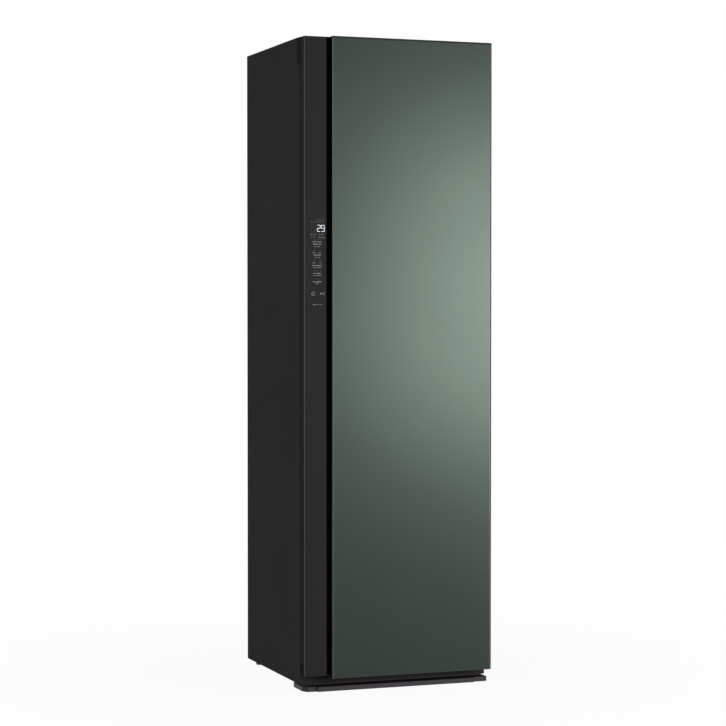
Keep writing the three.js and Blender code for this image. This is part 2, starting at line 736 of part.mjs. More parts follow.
const exchangerPiece = () => block(
  [blowerX + blower.radius + exchanger.blowerSpace, ductRight - exchanger.ductSpace],
  [blowerY - exchanger.length / 2, blowerY + exchanger.length / 2],
  [ductFloor + gap, ductFloor + gap + exchanger.height]);

function compressorPiece() {
  const { radius, dome } = compressor;
  const [x, y] = [compressorX, compressorY];
  const plateBottom = trayFloor + gap + compressor.rubber;
  const bottom = plateBottom + compressor.plate / 2;
  const profile = [
    [0, bottom],
    [radius, bottom],
    [radius, compressorTop - dome],
    [radius * Math.cos(Math.PI / 6), compressorTop - dome / 2],
    [radius / 2, compressorTop],
    [0, compressorTop],
  ].map(([r, z]) => new THREE.Vector2(r, z));
  const shell = new THREE.LatheGeometry(profile, 28).rotateX(Math.PI / 2).translate(x, y, 0);
  const plate = block([x - compressor.plateHalf, x + compressor.plateHalf],
    [y - compressor.plateHalf, y + compressor.plateHalf], [plateBottom, plateBottom + compressor.plate]);
  const corner = compressor.plateHalf - compressor.rubberRadius;
  const rubbers = [-corner, corner].flatMap((dx) => [-corner, corner].map((dy) =>
    rod('z', [x + dx, y + dy], compressor.rubberRadius, trayFloor + gap, bottom, 6)));
  return join(plate, shell, ...rubbers);
}

function refrigerantPipePiece() {
  const start = compressorTop + gap;
  const end = ductFloor;
  const level = (start + end) / 2;
  return tube([
    [compressorX, compressorY, start],
    [compressorX, compressorY, start + pipe.rise / 2],
    [compressorX, compressorY - pipe.turn, level],
    [portX, portY + pipe.turn, level],
    [portX, portY, end - pipe.rise],
    [portX, portY, end],
  ], pipe.radius, 24);
}

function blowerHousingPiece() {
  const centre = [blowerX, blowerY];
  const bottom = ductFloor + gap + blower.motorHeight + gap;
  const top = bottom + blower.height;
  const drum = rod('z', centre, blower.radius, bottom, top, 14);
  const hollow = rod('z', centre, blower.radius - blower.wall, bottom + blower.wall,
    top - blower.wall, 14);
  const mouth = rod('z', centre, blower.inletRadius, top - blower.wall - overrun, top + overrun);
  const shaftHole = rod('z', centre, blower.shaftHole, bottom - overrun,
    bottom + blower.wall + overrun);
  const outlet = block([blowerX - blower.outletHalf, blowerX + blower.outletHalf],
    [blowerY, blowerY + blower.radius + overrun],
    [bottom + 2 * blower.wall, top - 2 * blower.wall]);
  return cut(drum, hollow, mouth, shaftHole, outlet);
}

function blowerMotorPiece() {
  const bottom = ductFloor + gap;
  const top = bottom + blower.motorHeight;
  return join(
    rod('z', [blowerX, blowerY], blower.motorRadius, bottom, top, 8),
    rod('z', [blowerX, blowerY], blower.shaftRadius, bottom, top + blower.shaftRise, 6));
}

function blowerWheelPiece() {
  const bottom = ductFloor + gap + blower.motorHeight + blower.shaftRise + gap;
  const plate = rod('z', [0, 0], wheelRadius, bottom, bottom + blower.plate, 14);
  const hub = rod('z', [0, 0], blower.hubRadius, bottom, bottom + blower.wheelHeight / 2, 8);
  const blades = Array.from({ length: blower.bladeCount }, (_, n) => block(
    [blower.bladeInner, wheelRadius - blower.plate],
    [-blower.bladeWidth / 2, blower.bladeWidth / 2],
    [bottom, bottom + blower.wheelHeight]).rotateZ(2 * Math.PI * n / blower.bladeCount));
  return join(plate, hub, ...blades).translate(blowerX, blowerY, 0);
}

function generatorPiece() {
  const { halfLength, halfWidth, bottom, height, leg } = generator;
  const [x, y] = [generatorX, generatorY];
  const body = block([x - halfLength, x + halfLength], [y - halfWidth, y + halfWidth],
    [bottom, bottom + height]);
  const legs = [-halfLength, halfLength - leg].flatMap((dx) =>
    [-halfWidth, halfWidth - leg].map((dy) => block([x + dx, x + dx + leg],
      [y + dy, y + dy + leg], [trayFloor + gap, bottom + leg])));
  return join(body, ...legs);
}

function steamHosePiece() {
  const start = generator.bottom + generator.height + gap;
  const end = chamber.floor;
  const rise = end - start;
  return tube([
    [generatorX, generatorY, start],
    [generatorX, generatorY, start + rise / 6],
    [steamX, (generatorY + steamY) / 2, start + rise / 3],
    [steamX, steamY, start + rise / 2],
    [steamX, steamY, start + 3 * rise / 4],
    [steamX, steamY, end],
  ], steam.radius, 30);
}

function pumpPiece(side) {
  const x = side * pumpX;
  const barrel = rod('y', [x, pump.z], pump.radius, pumpY - pump.length / 2,
    pumpY + pump.length / 2, 8);
  const stand = block([x - pump.foot / 2, x + pump.foot / 2],
    [pumpY - pump.footLength / 2, pumpY + pump.footLength / 2], [trayFloor + gap, pump.z]);
  return join(barrel, stand);
}

function boardCasePiece() {
  const wall = half - cabinet.sheet - gap;
  const rear = bodyRear - board.rearSpace;
  return block([-wall, -wall + board.thickness], [rear - board.length, rear],
    [board.bottom, board.bottom + board.height]);
}

// Door pieces
const strip = { thickness: 3, edgeRadius: 6, return: 9, chamfer: 1 };
const groove = { wall: 2 };
const panel = { return: 13 };
const endCap = {
  plate: 3, rearWall: 2.5,
  grooveSpace: 1.5, // between the finger groove and the lower cap's rear wall
  pinSpace: 2, // under the upper hinge pin
};
const gasket = { width: 14, offset: 6 };
const display = { drop: 530, height: 280, leftInset: 8, rightInset: 12, thickness: 1.6 };

const lip = door.stripTopInset + endCap.plate;
const capTopHeight = hinge.notchHeight + hinge.pinLength + endCap.pinSpace;
const stripBodyTop = stripTop - endCap.plate - gap;
const panelTop = cabinet.height - lip - gap;
const endCapTop = door.stripBottom + door.capHeight;
const grooveFloor = stripFace + door.gripDepth;
const grooveLeft = stripRight - door.wall - gap;
const grooveRight = panelLeft + door.gripUndercut;
const bossTop = cabinet.height - hinge.notchHeight;
const linerBottom = endCapTop + gap;
const linerTop = cabinet.height - capTopHeight - gap;
const doorInner = half - door.wall - gap;

function frontPanelPiece() {
  const back = panelFace + door.sheet;
  const profile = outline([
    [panelLeft, panelFace],
    [panelRight, panelFace],
    [panelRight, panelFace + panel.return],
    [panelRight - door.sheet, panelFace + panel.return],
    [panelRight - door.sheet, back],
    [panelLeft + door.sheet, back],
    [panelLeft + door.sheet, panelFace + panel.return],
    [panelLeft, panelFace + panel.return],
  ]);
  return pull('z', profile, door.panelBottom, panelTop);
}

// The strip's right edge rolls back into the finger groove
function controlStripPiece() {
  const { thickness, edgeRadius, chamfer } = strip;
  const back = stripFace + strip.return;
  const shape = new THREE.Shape();
  shape.moveTo(-half, stripFace + chamfer);
  shape.lineTo(-half + chamfer, stripFace);
  shape.lineTo(stripRight - edgeRadius, stripFace);
  shape.absarc(stripRight - edgeRadius, stripFace + edgeRadius, edgeRadius, -Math.PI / 2, 0);
  shape.lineTo(stripRight, back);
  shape.lineTo(stripRight - thickness, back);
  shape.lineTo(stripRight - thickness, stripFace + edgeRadius);
  shape.absarc(stripRight - edgeRadius, stripFace + edgeRadius, edgeRadius - thickness,
    0, -Math.PI / 2, true);
  shape.lineTo(-half, stripFace + thickness);
  return pull('z', shape, door.stripBottom, stripBodyTop, 6);
}

function gripChannelPiece() {
  const left = grooveLeft;
  const wallFront = stripFace + strip.return + gap;
  const profile = outline([
    [left, wallFront],
    [stripRight, wallFront],
    [stripRight, grooveFloor],
    [grooveRight, grooveFloor],
    [grooveRight, panelFace + door.sheet + gap],
    [grooveRight + groove.wall, panelFace + door.sheet + gap],
    [grooveRight + groove.wall, grooveFloor + groove.wall],
    [left, grooveFloor + groove.wall],
  ]);
  return pull('z', profile, door.stripBottom + endCap.plate + gap, stripBodyTop);
}

const doorSideLeftPiece = () => block(
  [-half, -half + door.wall], [stripFace + strip.thickness + gap, doorRear],
  [endCapTop + gap, stripBodyTop]);

function doorSideRightPiece() {
  const plate = block([half - door.wall, half], [panelFace, doorRear],
    [door.panelBottom, cabinet.height]);
  const lowerNotch = block([half - door.wall - overrun, half + overrun],
    [hingeY - hinge.notchRadius, doorRear + overrun], [0, door.stripBottom]);
  return cut(plate, hingeNotch(), lowerNotch);
}

// Room in the door's upper corner for the hinge bracket, over the whole swing
function hingeNotch() {
  return block([hingeX - hinge.halfWidth - hinge.footThickness - gap, half + overrun],
    [hingeY - hinge.notchRadius, doorRear + overrun], [bossTop, cabinet.height + overrun]);
}

function doorCapTopPiece() {
  const right = half - door.wall - gap;
  const wallFront = panelFace + door.sheet + gap;
  const stripLid = block([-half, panelLeft + endCap.plate], [stripFace, doorRear],
    [stripTop - endCap.plate, stripTop]);
  const panelLid = block([panelLeft, right], [panelFace, doorRear],
    [cabinet.height - lip, cabinet.height]);
  const bottom = cabinet.height - capTopHeight;
  const left = grooveRight + groove.wall + gap;
  const skirt = block([left, panelRight - door.sheet - gap], [wallFront, doorRear],
    [bottom, cabinet.height - lip / 2]);
  const skirtHollow = block(
    [left + endCap.plate, hingeX - hinge.halfWidth - hinge.footThickness - endCap.plate],
    [wallFront + endCap.plate, doorRear - endCap.plate],
    [bottom - overrun, cabinet.height - lip]);
  const bore = rod('z', [hingeX, hingeY], hinge.pinRadius + gap, bottom - overrun,
    bossTop + overrun, 6);
  return cut(join(stripLid, panelLid, skirt), skirtHollow, hingeNotch(), bore);
}

function doorCapBottomPiece() {
  const right = half - door.wall - gap;
  const rear = grooveFloor + groove.wall + endCap.grooveSpace + endCap.rearWall;
  const bottom = door.stripBottom;
  const stripFloor = block([-half, stripRight], [stripFace + strip.return + gap, rear],
    [bottom, bottom + endCap.plate]);
  const panelFloor = block([stripRight + gap, right], [panelFace + panel.return + gap, rear],
    [bottom, bottom + endCap.plate]);
  const sideWall = block([-half, -half + door.wall],
    [stripFace + strip.thickness + gap, rear], [bottom, endCapTop]);
  const rearWall = block([-half, right], [rear - endCap.rearWall, rear], [bottom, endCapTop]);
  const boss = block([hingeX - 2 * hinge.halfWidth, right], [hingeY - hinge.halfWidth, rear],
    [bottom, bottom + hinge.bossHeight]);
  const bore = rod('z', [hingeX, hingeY], hinge.pinRadius + gap, bottom - overrun,
    bottom + hinge.bossHeight + overrun, 6);
  return cut(join(stripFloor, panelFloor, sideWall, rearWall, boss), bore);
}

const doorLinerPiece = () => block([-doorInner, doorInner], [doorRear - door.liner, doorRear],
  [linerBottom, linerTop]);

// Foam core: thin behind the groove and the display, full depth behind the panel
function doorCorePiece() {
  const rear = doorRear - door.liner - gap;
  const left = -half + door.wall + gap;
  const front = stripFace + strip.return;
  const profile = outline([
    [left, front],
    [grooveLeft - gap, front],
    [grooveLeft - gap, grooveFloor + groove.wall + gap],
    [grooveRight + groove.wall + gap, grooveFloor + groove.wall + gap],
    [grooveRight + groove.wall + gap, panelFace + door.sheet + gap],
    [panelRight - door.sheet - gap, panelFace + door.sheet + gap],
    [panelRight - door.sheet - gap, rear],
    [left, rear],
  ]);
  return pull('z', profile, linerBottom, linerTop);
}

// Display board between the strip and the foam
function displayBoardPiece() {
  const front = stripFace + strip.return - gap - display.thickness;
  const top = cabinet.height - display.drop;
  return block([-half + display.leftInset, stripRight - display.rightInset],
    [front, front + display.thickness], [top - display.height, top]);
}

function gasketPiece() {
  const x = chamberHalf + gasket.offset;
  const low = chamber.floor - gasket.offset;
  const high = chamberCeiling + gasket.offset;
  const y = [doorRear + gap, bodyFront - gap];
  const outer = block([-x - gasket.width, x + gasket.width], y,
    [low - gasket.width, high + gasket.width]);
  return cut(outer, block([-x, x], [y[0] - overrun, y[1] + overrun], [low, high]));
}

// Hinge brackets: a foot screwed to the cabinet, a plate reaching forward and its pin
function hingeBracketPiece(top) {
  const up = top ? 1 : -1;
  const span = (a, b) => (up > 0 ? [a, b] : [b, a]);
  const plateStart = top ? bossTop + gap : door.stripBottom - gap;
  const plateEnd = plateStart + up * hinge.plate;
  const x = [hingeX - hinge.halfWidth, hingeX + hinge.halfWidth];
  const footRear = bodyFront - gap;
  const plate = block(x, [hingeY - hinge.halfWidth, footRear], span(plateStart, plateEnd));
  const foot = block(x, [footRear - hinge.footThickness, footRear],
    span(plateStart, plateStart + up * hinge.footHeight));
  const pin = rod('z', [hingeX, hingeY], hinge.pinRadius,
    ...(up > 0 ? [plateStart - hinge.pinLength, plateEnd] : [plateEnd, plateStart + hinge.pinLength]),
    6);
  return join(plate, foot, pin);
}

// Trouser press: a padded base on the door liner and a hinged pressing plate
const press = {
  leftSpace: 150, rightSpace: 142, topSpace: 320, height: 680, baseDepth: 18, plate: 12,
  lugHeight: 15, pinRadius: 3, pinLength: 8, sideGap: 1, play: 0.5,
};
const pressLeft = -half + press.leftSpace;
const pressAxisX = half - press.rightSpace;
const pressTop = chamberCeiling - press.topSpace;
const pressBottom = pressTop - press.height;
const pressBaseFront = doorRear + gap;
const pressBaseRear = pressBaseFront + press.baseDepth;
const pressAxisY = pressBaseRear + gap + press.plate / 2;

function pressBasePiece() {
  const edge = pressAxisX - press.plate / 2 - press.sideGap;
  const lugRight = pressAxisX + press.plate / 2;
  const pad = block([pressLeft, edge], [pressBaseFront, pressBaseRear],
    [pressBottom, pressTop]);
  const lugs = [[pressBottom, pressBottom + press.lugHeight],
    [pressTop - press.lugHeight, pressTop]].map((z) => block([edge - press.lugHeight, lugRight],
    [pressBaseFront, pressAxisY + press.plate / 2], z));
  const pins = [
    [pressBottom, pressBottom + press.lugHeight + press.pinLength],
    [pressTop - press.lugHeight - press.pinLength, pressTop],
  ].map((z) => rod('z', [pressAxisX, pressAxisY], press.pinRadius, ...z, 6));
  return join(pad, ...lugs, ...pins);
}

function pressPlatePiece() {
  const halfPlate = press.plate / 2;
  const shape = new THREE.Shape();
  shape.moveTo(pressLeft, pressAxisY - halfPlate);
  shape.lineTo(pressAxisX, pressAxisY - halfPlate);
  shape.absarc(pressAxisX, pressAxisY, halfPlate, -Math.PI / 2, Math.PI / 2);
  shape.lineTo(pressLeft, pressAxisY + halfPlate);
  const z = [pressBottom + press.lugHeight + press.play,
    pressTop - press.lugHeight - press.play];
  const bores = [[z[0] - overrun, z[0] + press.pinLength], [z[1] - press.pinLength, z[1] + overrun]]
    .map((range) => rod('z', [pressAxisX, pressAxisY], press.pinRadius + gap, ...range, 6));
  return cut(pull('z', shape, ...z), ...bores);
}

// Assemblies
const steamCabinet = new THREE.Group();
const body = new THREE.Group();
const machineRoom = new THREE.Group();
const doorLeaf = new THREE.Group();
const loosePieces = new THREE.Group();
steamCabinet.add(body, machineRoom, doorLeaf, loosePieces);

for (const [name, side] of sides) {
  addPiece(body, `side_panel_${name}`, sidePanel(side), finishes.charcoal);
  addPiece(body, `corner_cap_${name}`, cornerCapPiece(side), finishes.charcoal);
  addPiece(body, `inner_panel_${name}`, chamberSidePiece(side), finishes.liner);
  addPiece(body, `base_corner_${name}`, coverCornerPiece(name, side), finishes.base);
  addPiece(body, `rear_foot_${name}`, rearFootPiece(side), finishes.foot);
  addPiece(loosePieces, `levelling_foot_${name}`, levellingFootPiece(side), finishes.rubber);
  addPiece(loosePieces, `coat_hanger_${name}`, hangerPiece(side), finishes.black);
}
addPiece(body, 'top_panel', topPanelPiece(), finishes.charcoal);
addPiece(body, 'back_panel', backPanelPiece(), finishes.zinc);
addPiece(body, 'power_inlet', inletPiece(), finishes.black);
addPiece(body, 'base_tray', trayPiece(), finishes.zinc);
addPiece(body, 'kick_plate', kickPlatePiece(), finishes.charcoal);
addPiece(body, 'base_front_bar', coverBarPiece(), finishes.base);
addPiece(body, 'front_frame', frontFramePiece(), finishes.charcoal);
addPiece(body, 'inner_panel_back', chamberBackPiece(), finishes.liner);
addPiece(body, 'inner_ceiling', ceilingPiece(), finishes.liner);
addPiece(body, 'chamber_floor', chamberFloorPiece(), finishes.liner);
addPiece(body, 'tank_bay', bayPiece(), finishes.liner);
addPiece(body, 'rail_carrier', carrierPiece(), finishes.liner);
addPiece(body, 'rail_motor', railMotorPiece(), finishes.black);
addPiece(body, 'hinge_bracket_top', hingeBracketPiece(true), finishes.zinc);
addPiece(body, 'hinge_bracket_bottom', hingeBracketPiece(false), finishes.zinc);

addPiece(machineRoom, 'air_duct', ductPiece(), finishes.liner);
addPiece(machineRoom, 'heat_exchanger', exchangerPiece(), finishes.alloy);
addPiece(machineRoom, 'compressor', compressorPiece(), finishes.black);
addPiece(machineRoom, 'refrigerant_pipe', refrigerantPipePiece(), finishes.copper);
addPiece(machineRoom, 'blower_housing', blowerHousingPiece(), finishes.black);
addPiece(machineRoom, 'blower_motor', blowerMotorPiece(), finishes.zinc);
addPiece(machineRoom, 'blower_wheel', blowerWheelPiece(), finishes.black);
addPiece(machineRoom, 'steam_generator', generatorPiece(), finishes.alloy);
addPiece(machineRoom, 'steam_hose', steamHosePiece(), finishes.rubber);
addPiece(machineRoom, 'supply_pump', pumpPiece(-1), finishes.black);
addPiece(machineRoom, 'drain_pump', pumpPiece(1), finishes.black);
addPiece(machineRoom, 'control_board_case', boardCasePiece(), finishes.black);

addPiece(doorLeaf, 'front_panel', frontPanelPiece(), finishes.green);
addPiece(doorLeaf, 'control_strip', controlStripPiece(), finishes.strip);
addPiece(doorLeaf, 'grip_channel', gripChannelPiece(), finishes.black);
addPiece(doorLeaf, 'door_side_left', doorSideLeftPiece(), finishes.charcoal);
addPiece(doorLeaf, 'door_side_right', doorSideRightPiece(), finishes.charcoal);
addPiece(doorLeaf, 'door_cap_top', doorCapTopPiece(), finishes.charcoal);
addPiece(doorLeaf, 'door_cap_bottom', doorCapBottomPiece(), finishes.charcoal);
addPiece(doorLeaf, 'door_liner', doorLinerPiece(), finishes.liner);
addPiece(doorLeaf, 'door_core', doorCorePiece(), finishes.foam);
addPiece(doorLeaf, 'display_board', displayBoardPiece(), finishes.board);
addPiece(doorLeaf, 'door_gasket', gasketPiece(), finishes.rubber);
addPiece(doorLeaf, 'press_base', pressBasePiece(), finishes.padding);
addPiece(doorLeaf, 'press_plate', pressPlatePiece(), finishes.liner);

addPiece(loosePieces, 'hanger_rail', railPiece(), finishes.zinc);
addPiece(loosePieces, 'crank_disc', crankPiece(), finishes.black);
addPiece(loosePieces, 'shelf', shelfPiece(), finishes.liner);
addPiece(loosePieces, 'lint_filter', filterPiece(), finishes.black);
addPiece(loosePieces, 'supply_tank', tankPiece(-1), finishes.tank);
addPiece(loosePieces, 'drain_tank', tankPiece(1), finishes.tank);

export default steamCabinet;
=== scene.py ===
import json
import math

import bmesh
import bpy
import numpy as np
from bpy.props import FloatProperty, FloatVectorProperty, IntProperty, PointerProperty
from bpy.types import Operator, Panel, PropertyGroup
from mathutils import Euler, Matrix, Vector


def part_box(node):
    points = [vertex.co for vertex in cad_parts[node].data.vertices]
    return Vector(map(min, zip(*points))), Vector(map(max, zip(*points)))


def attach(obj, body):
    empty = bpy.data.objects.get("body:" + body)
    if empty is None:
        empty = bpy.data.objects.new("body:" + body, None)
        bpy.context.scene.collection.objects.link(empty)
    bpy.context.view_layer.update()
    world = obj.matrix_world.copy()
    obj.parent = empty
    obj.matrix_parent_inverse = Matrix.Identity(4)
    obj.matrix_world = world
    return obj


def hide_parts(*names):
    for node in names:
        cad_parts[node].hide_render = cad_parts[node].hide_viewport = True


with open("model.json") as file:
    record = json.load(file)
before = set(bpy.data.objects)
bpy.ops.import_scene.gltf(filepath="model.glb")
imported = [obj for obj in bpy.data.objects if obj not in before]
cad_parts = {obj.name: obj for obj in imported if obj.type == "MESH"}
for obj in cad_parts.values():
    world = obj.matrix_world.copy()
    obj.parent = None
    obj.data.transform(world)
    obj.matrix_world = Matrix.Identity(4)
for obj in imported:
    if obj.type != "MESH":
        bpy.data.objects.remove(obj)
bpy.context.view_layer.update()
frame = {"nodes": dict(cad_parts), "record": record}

bl_info = {
    "name": "Steam cabinet",
    "version": (1, 0, 0),
    "blender": (4, 5, 0),
    "location": "View3D > Sidebar > Steam Cabinet",
    "description": "Dresses the packed steam cabinet with finished pieces and materials",
    "category": "Object",
}

SLOT_OF = {entry["node"]: entry["material_slot"] for entry in frame["record"]["subparts"]}
BODY_OF = {node: body for body, nodes in frame["record"]["behaviour"]["bodies"].items() for node in nodes}
X, Y, Z = 0, 1, 2


# ---------------------------------------------------------------- sizes and colours


def linear(red, green, blue):
    """The linear value of an sRGB colour given from 0 to 255."""
    level = np.array([red, green, blue]) / 255.0
    return tuple(np.where(level <= 0.04045, level / 12.92, ((level + 0.055) / 1.055) ** 2.4).tolist())


def size(name, description, default):
    return FloatProperty(name=name, description=description, default=default, unit="LENGTH", precision=4)


def share(name, description, default):
    return FloatProperty(name=name, description=description, default=default, min=0.0, soft_max=1.0)


def watts(name, description, default):
    return FloatProperty(name=name, description=description, default=default, min=0.0, unit="POWER")


def in_degrees(name, description, degrees):
    return FloatProperty(
        name=name, description=description, default=math.radians(degrees), subtype="ANGLE", unit="ROTATION")


def colour(name, description, default):
    return FloatVectorProperty(
        name=name, description=description, default=linear(*default), subtype="COLOR", size=3,
        min=0.0, max=1.0)


def location(name, description, default):
    return FloatVectorProperty(
        name=name, description=description, default=default, subtype="TRANSLATION", unit="LENGTH", size=3)


class SteamCabinetColours(PropertyGroup):
    green_panel: colour("Front panel", "Green-grey film on the front panel", (49, 56, 51))
    # Painted highlight: the lighter colour on the front panel's folds and ends stands in for light caught by
    # the folded edges
    green_edge: colour("Panel edge", "Folded edges of the front panel", (102, 111, 105))
    charcoal_steel: colour("Outer skin", "Powder coat of the side and top panels", (43, 41, 41))
    door_edge: colour("Door edge", "Plastic of the door's sides", (38, 38, 38))
    control_glass: colour("Control strip", "Smoked face of the control strip", (34, 34, 35))
    # Painted highlight: the light grey on the strip's outer chamfer stands in for light caught by the chamfer
    control_edge: colour("Strip edge", "Chamfer along the control strip", (94, 94, 96))
    frame_plastic: colour("Front frame", "Frame round the chamber's mouth", (36, 36, 37))
    trim_plastic: colour("Trim", "Corner caps and end caps", (28, 28, 27))
    cap_face: colour("Cap face", "Front of the door's upper end cap", (46, 49, 47))
    black_plastic: colour("Black plastic", "Finger groove and machine room housings", (9, 9, 9))
    base_plastic: colour("Foot covers", "Covers at the foot of the front", (62, 58, 63))
    # Painted shade: the covers' tops are darker than the covers to stand in for the shade under the door
    cover_top: colour("Tops of the foot covers", "Grained tops of the covers under the door", (30, 28, 30))
    foot_plastic: colour("Rear feet", "Moulded rear feet", (92, 92, 90))
    zinc_steel: colour("Zinc sheet", "Galvanised back panel and base tray", (172, 175, 178))
    liner_plastic: colour("Liner", "Moulded walls of the chamber", (205, 207, 209))
    foam: colour("Foam", "Rigid foam in the door", (232, 229, 222))
    gasket_rubber: colour("Gasket", "Magnetic door gasket", (22, 22, 23))
    foot_rubber: colour("Levelling feet", "Feet under the front corners", (36, 36, 36))
    hose_rubber: colour("Hose", "Steam hose", (44, 44, 44))
    fin_alloy: colour("Fins", "Fins of the heat exchanger", (200, 202, 205))
    cast_alloy: colour("Cast alloy", "Steam generator", (178, 178, 180))
    compressor_shell: colour("Compressor", "Painted compressor shell", (20, 20, 21))
    copper: colour("Copper", "Refrigerant pipe", (196, 122, 88))
    circuit_board: colour("Circuit board", "Display board behind the strip", (20, 84, 50))
    press_pad: colour("Press pad", "Cloth of the trouser press", (74, 76, 79))
    rail_chrome: colour("Rail", "Bright hanger rail", (216, 218, 220))
    hanger_plastic: colour("Hangers", "Moulded coat hangers", (40, 40, 41))
    shelf_plastic: colour("Shelf", "Slotted shelf", (150, 152, 155))
    filter_plastic: colour("Filter", "Lint filter", (62, 62, 64))
    tank_plastic: colour("Tanks", "Smoked plastic of the water tanks", (96, 101, 106))
    print_grey: colour("Print", "Dim printed marks on the strip", (57, 57, 58))
    print_bright: colour("Bright print", "Bright printed marks on the strip", (95, 95, 97))
    unlit_bars: colour("Unlit bars", "Dark bars of the display beside the lit number", (54, 54, 54))
    lamp_white: colour("Lamp lens", "Frosted lens of the chamber lamp", (236, 238, 240))


class SteamCabinetDoor(PropertyGroup):
    fold: size("Fold radius", "Outer radius of the front panel's folded edges", 0.0016)
    sheet: size("Sheet", "Thickness of the front panel's steel", 0.001)
    edge: size("Edge radius", "Small radius on the door's moulded edges", 0.0006)
    strip_roll: size("Strip roll", "Radius of the strip's edge beside the groove", 0.006)
    strip_thickness: size("Strip thickness", "Thickness of the control strip", 0.003)
    strip_chamfer: size("Strip chamfer", "Chamfer on the strip's outer edge", 0.0015)
    cap_slot: size("Cap slot", "How far forward the lower cap's rear wall stands", 0.0045)
    liner_depth: size("Liner relief", "Depth of the door liner's pressed border", 0.0012)
    gasket_lip: size("Gasket lip", "Radius of the gasket's magnet bulb", 0.0021)


class SteamCabinetDisplay(PropertyGroup):
    digit_width: size("Digit width", "Width of a lit digit", 0.0110)
    digit_height: size("Digit height", "Height of a lit digit", 0.0200)
    digit_stroke: size("Digit stroke", "Stroke of a lit digit", 0.0016)
    digit_gap: size("Digit gap", "Space between the two digits", 0.0018)
    digits_left: size("Digits from the side", "From the door's left side to the digits", 0.0402)
    digits_base: size("Digits height", "Height of the digits' foot above the floor", 1.3780)
    unlit_left: size("Unlit bars from the side", "From the door's left side to the unlit digit", 0.0241)
    tens: IntProperty(name="Tens", description="First lit digit", default=2, min=0, max=9)
    units: IntProperty(name="Units", description="Second lit digit", default=9, min=0, max=9)
    glow: FloatProperty(name="Glow", description="Strength of the lit digits", default=0.78, min=0.0)
    print_height: size("Print height", "Height of one line of printed marks", 0.0026)
    key_size: size("Key size", "Width of the two touch symbols", 0.0125)


class SteamCabinetBody(PropertyGroup):
    skin_edge: size("Skin edge", "Radius on the edges of the steel skins", 0.0004)
    moulded_edge: size("Moulded edge", "Radius on the edges of moulded pieces", 0.0008)
    cover_edge: size("Cover edge", "Radius on the edges of the foot covers", 0.0012)
    bead_height: size("Bead height", "Height of the pressed beads on the back", 0.0025)
    bead_radius: size("Bead radius", "Half width of the pressed beads", 0.009)
    screw_radius: size("Screw radius", "Radius of the back panel's screw heads", 0.0035)
    thread_pitch: size("Thread pitch", "Pitch of the levelling screws", 0.00125)


class SteamCabinetStage(PropertyGroup):
    camera_place: location("Camera", "Place of the camera", (-2.3469, -6.3965, 1.1401))
    camera_turn: in_degrees("Camera turn", "Turn of the camera about the vertical", -20.072)
    camera_tilt: in_degrees("Camera tilt", "Tilt of the camera from level, upwards", -1.36)
    camera_lens: FloatProperty(
        name="Lens", description="Focal length of the camera", default=107.4, min=1.0, unit="CAMERA")
    key_place: location("Key light", "Place of the broad front light", (3.48, -4.3, 1.0))
    key_width: size("Key width", "Width of the front light", 4.0)
    key_height: size("Key height", "Height of the front light", 1.6)
    key_roll: in_degrees("Key roll", "Roll of the front light about its own axis", -12)
    key_power: watts("Key power", "Power of the front light", 288.0)
    rim_place: location("Rim light", "Place of the tall light at the left", (-4.2, -1.56, 0.8))
    rim_power: watts("Rim power", "Power of the tall light", 15.0)
    fill_place: location("Fill light", "Place of the soft left light", (-4.6, -2.6, 2.6))
    fill_power: watts("Fill power", "Power of the left light", 28.0)
    top_place: location("Top light", "Place of the overhead light", (0, -0.6, 5.2))
    top_power: watts("Top power", "Power of the overhead light", 22.0)
    ambient: share("Ambient", "Strength of the world for diffuse light", 0.32)
    floor_white: share("Floor white", "Share of plain white that the camera sees in the floor", 0.94)


# ---------------------------------------------------------------- surfaces


def block_grid(points, closed):
    """Faces of a grid of points, quads between neighbours, wrapped along the first axis if closed."""
    rows, columns = points.shape[:2]
    index = np.arange(rows * columns).reshape(rows, columns)
    if closed:
        index = np.vstack([index, index[:1]])
    corners = [index[:-1, :-1], index[1:, :-1], index[1:, 1:], index[:-1, 1:]]
    return points.reshape(-1, 3), np.stack(corners, -1).reshape(-1, 4).tolist()


def capped_grid(points):
    """A closed grid of rings whose first and last rings are filled with one face each."""
    rows, columns = points.shape[:2]
    verts, faces = block_grid(points, True)
    ring = np.arange(rows) * columns
    return verts, faces + [ring[::-1].tolist(), (ring + columns - 1).tolist()]


def to_space(plane, along, axis):
    """Puts plane coordinates and a distance along an axis into space: X holds (y, z), Y (x, z), Z (x, y)."""
    u, v, w = np.broadcast_arrays(plane[..., 0], plane[..., 1], along)
    order = {X: (w, u, v), Y: (u, w, v), Z: (u, v, w)}[axis]
    return np.stack(order, -1)


def filleted(corners, radii, steps=6):
    """An outline with round corners. Each corner point becomes an arc that starts and ends where the circle
    of its radius touches the two sides, turned about the circle's centre on the corner's bisector."""
    corner = np.array(corners, float)
    radius = np.broadcast_to(np.array(radii, float), len(corner))[:, None] + 1e-7
    before = np.roll(corner, 1, 0) - corner
    after = np.roll(corner, -1, 0) - corner
    before /= np.linalg.norm(before, axis=1, keepdims=True)
    after /= np.linalg.norm(after, axis=1, keepdims=True)
    angle = np.arccos(np.clip((before * after).sum(1, keepdims=True), -1, 1))
    bisector = before + after
    bisector /= np.linalg.norm(bisector, axis=1, keepdims=True)
    centre = corner + bisector * radius / np.sin(angle / 2)
    start = corner + before * radius / np.tan(angle / 2) - centre
    end = corner + after * radius / np.tan(angle / 2) - centre
    turn = (np.pi - angle)[:, None]
    part = np.linspace(0, 1, steps + 1)[None, :, None]
    arc = (np.sin((1 - part) * turn) * start[:, None] + np.sin(part * turn) * end[:, None]) / np.sin(turn)
    return (centre[:, None] + arc).reshape(-1, 2)


def swept(outline, axis, start, end):
    """A closed outline carried straight along an axis, with flat ends."""
    return capped_grid(to_space(np.asarray(outline)[:, None], np.array([[start, end]]), axis))


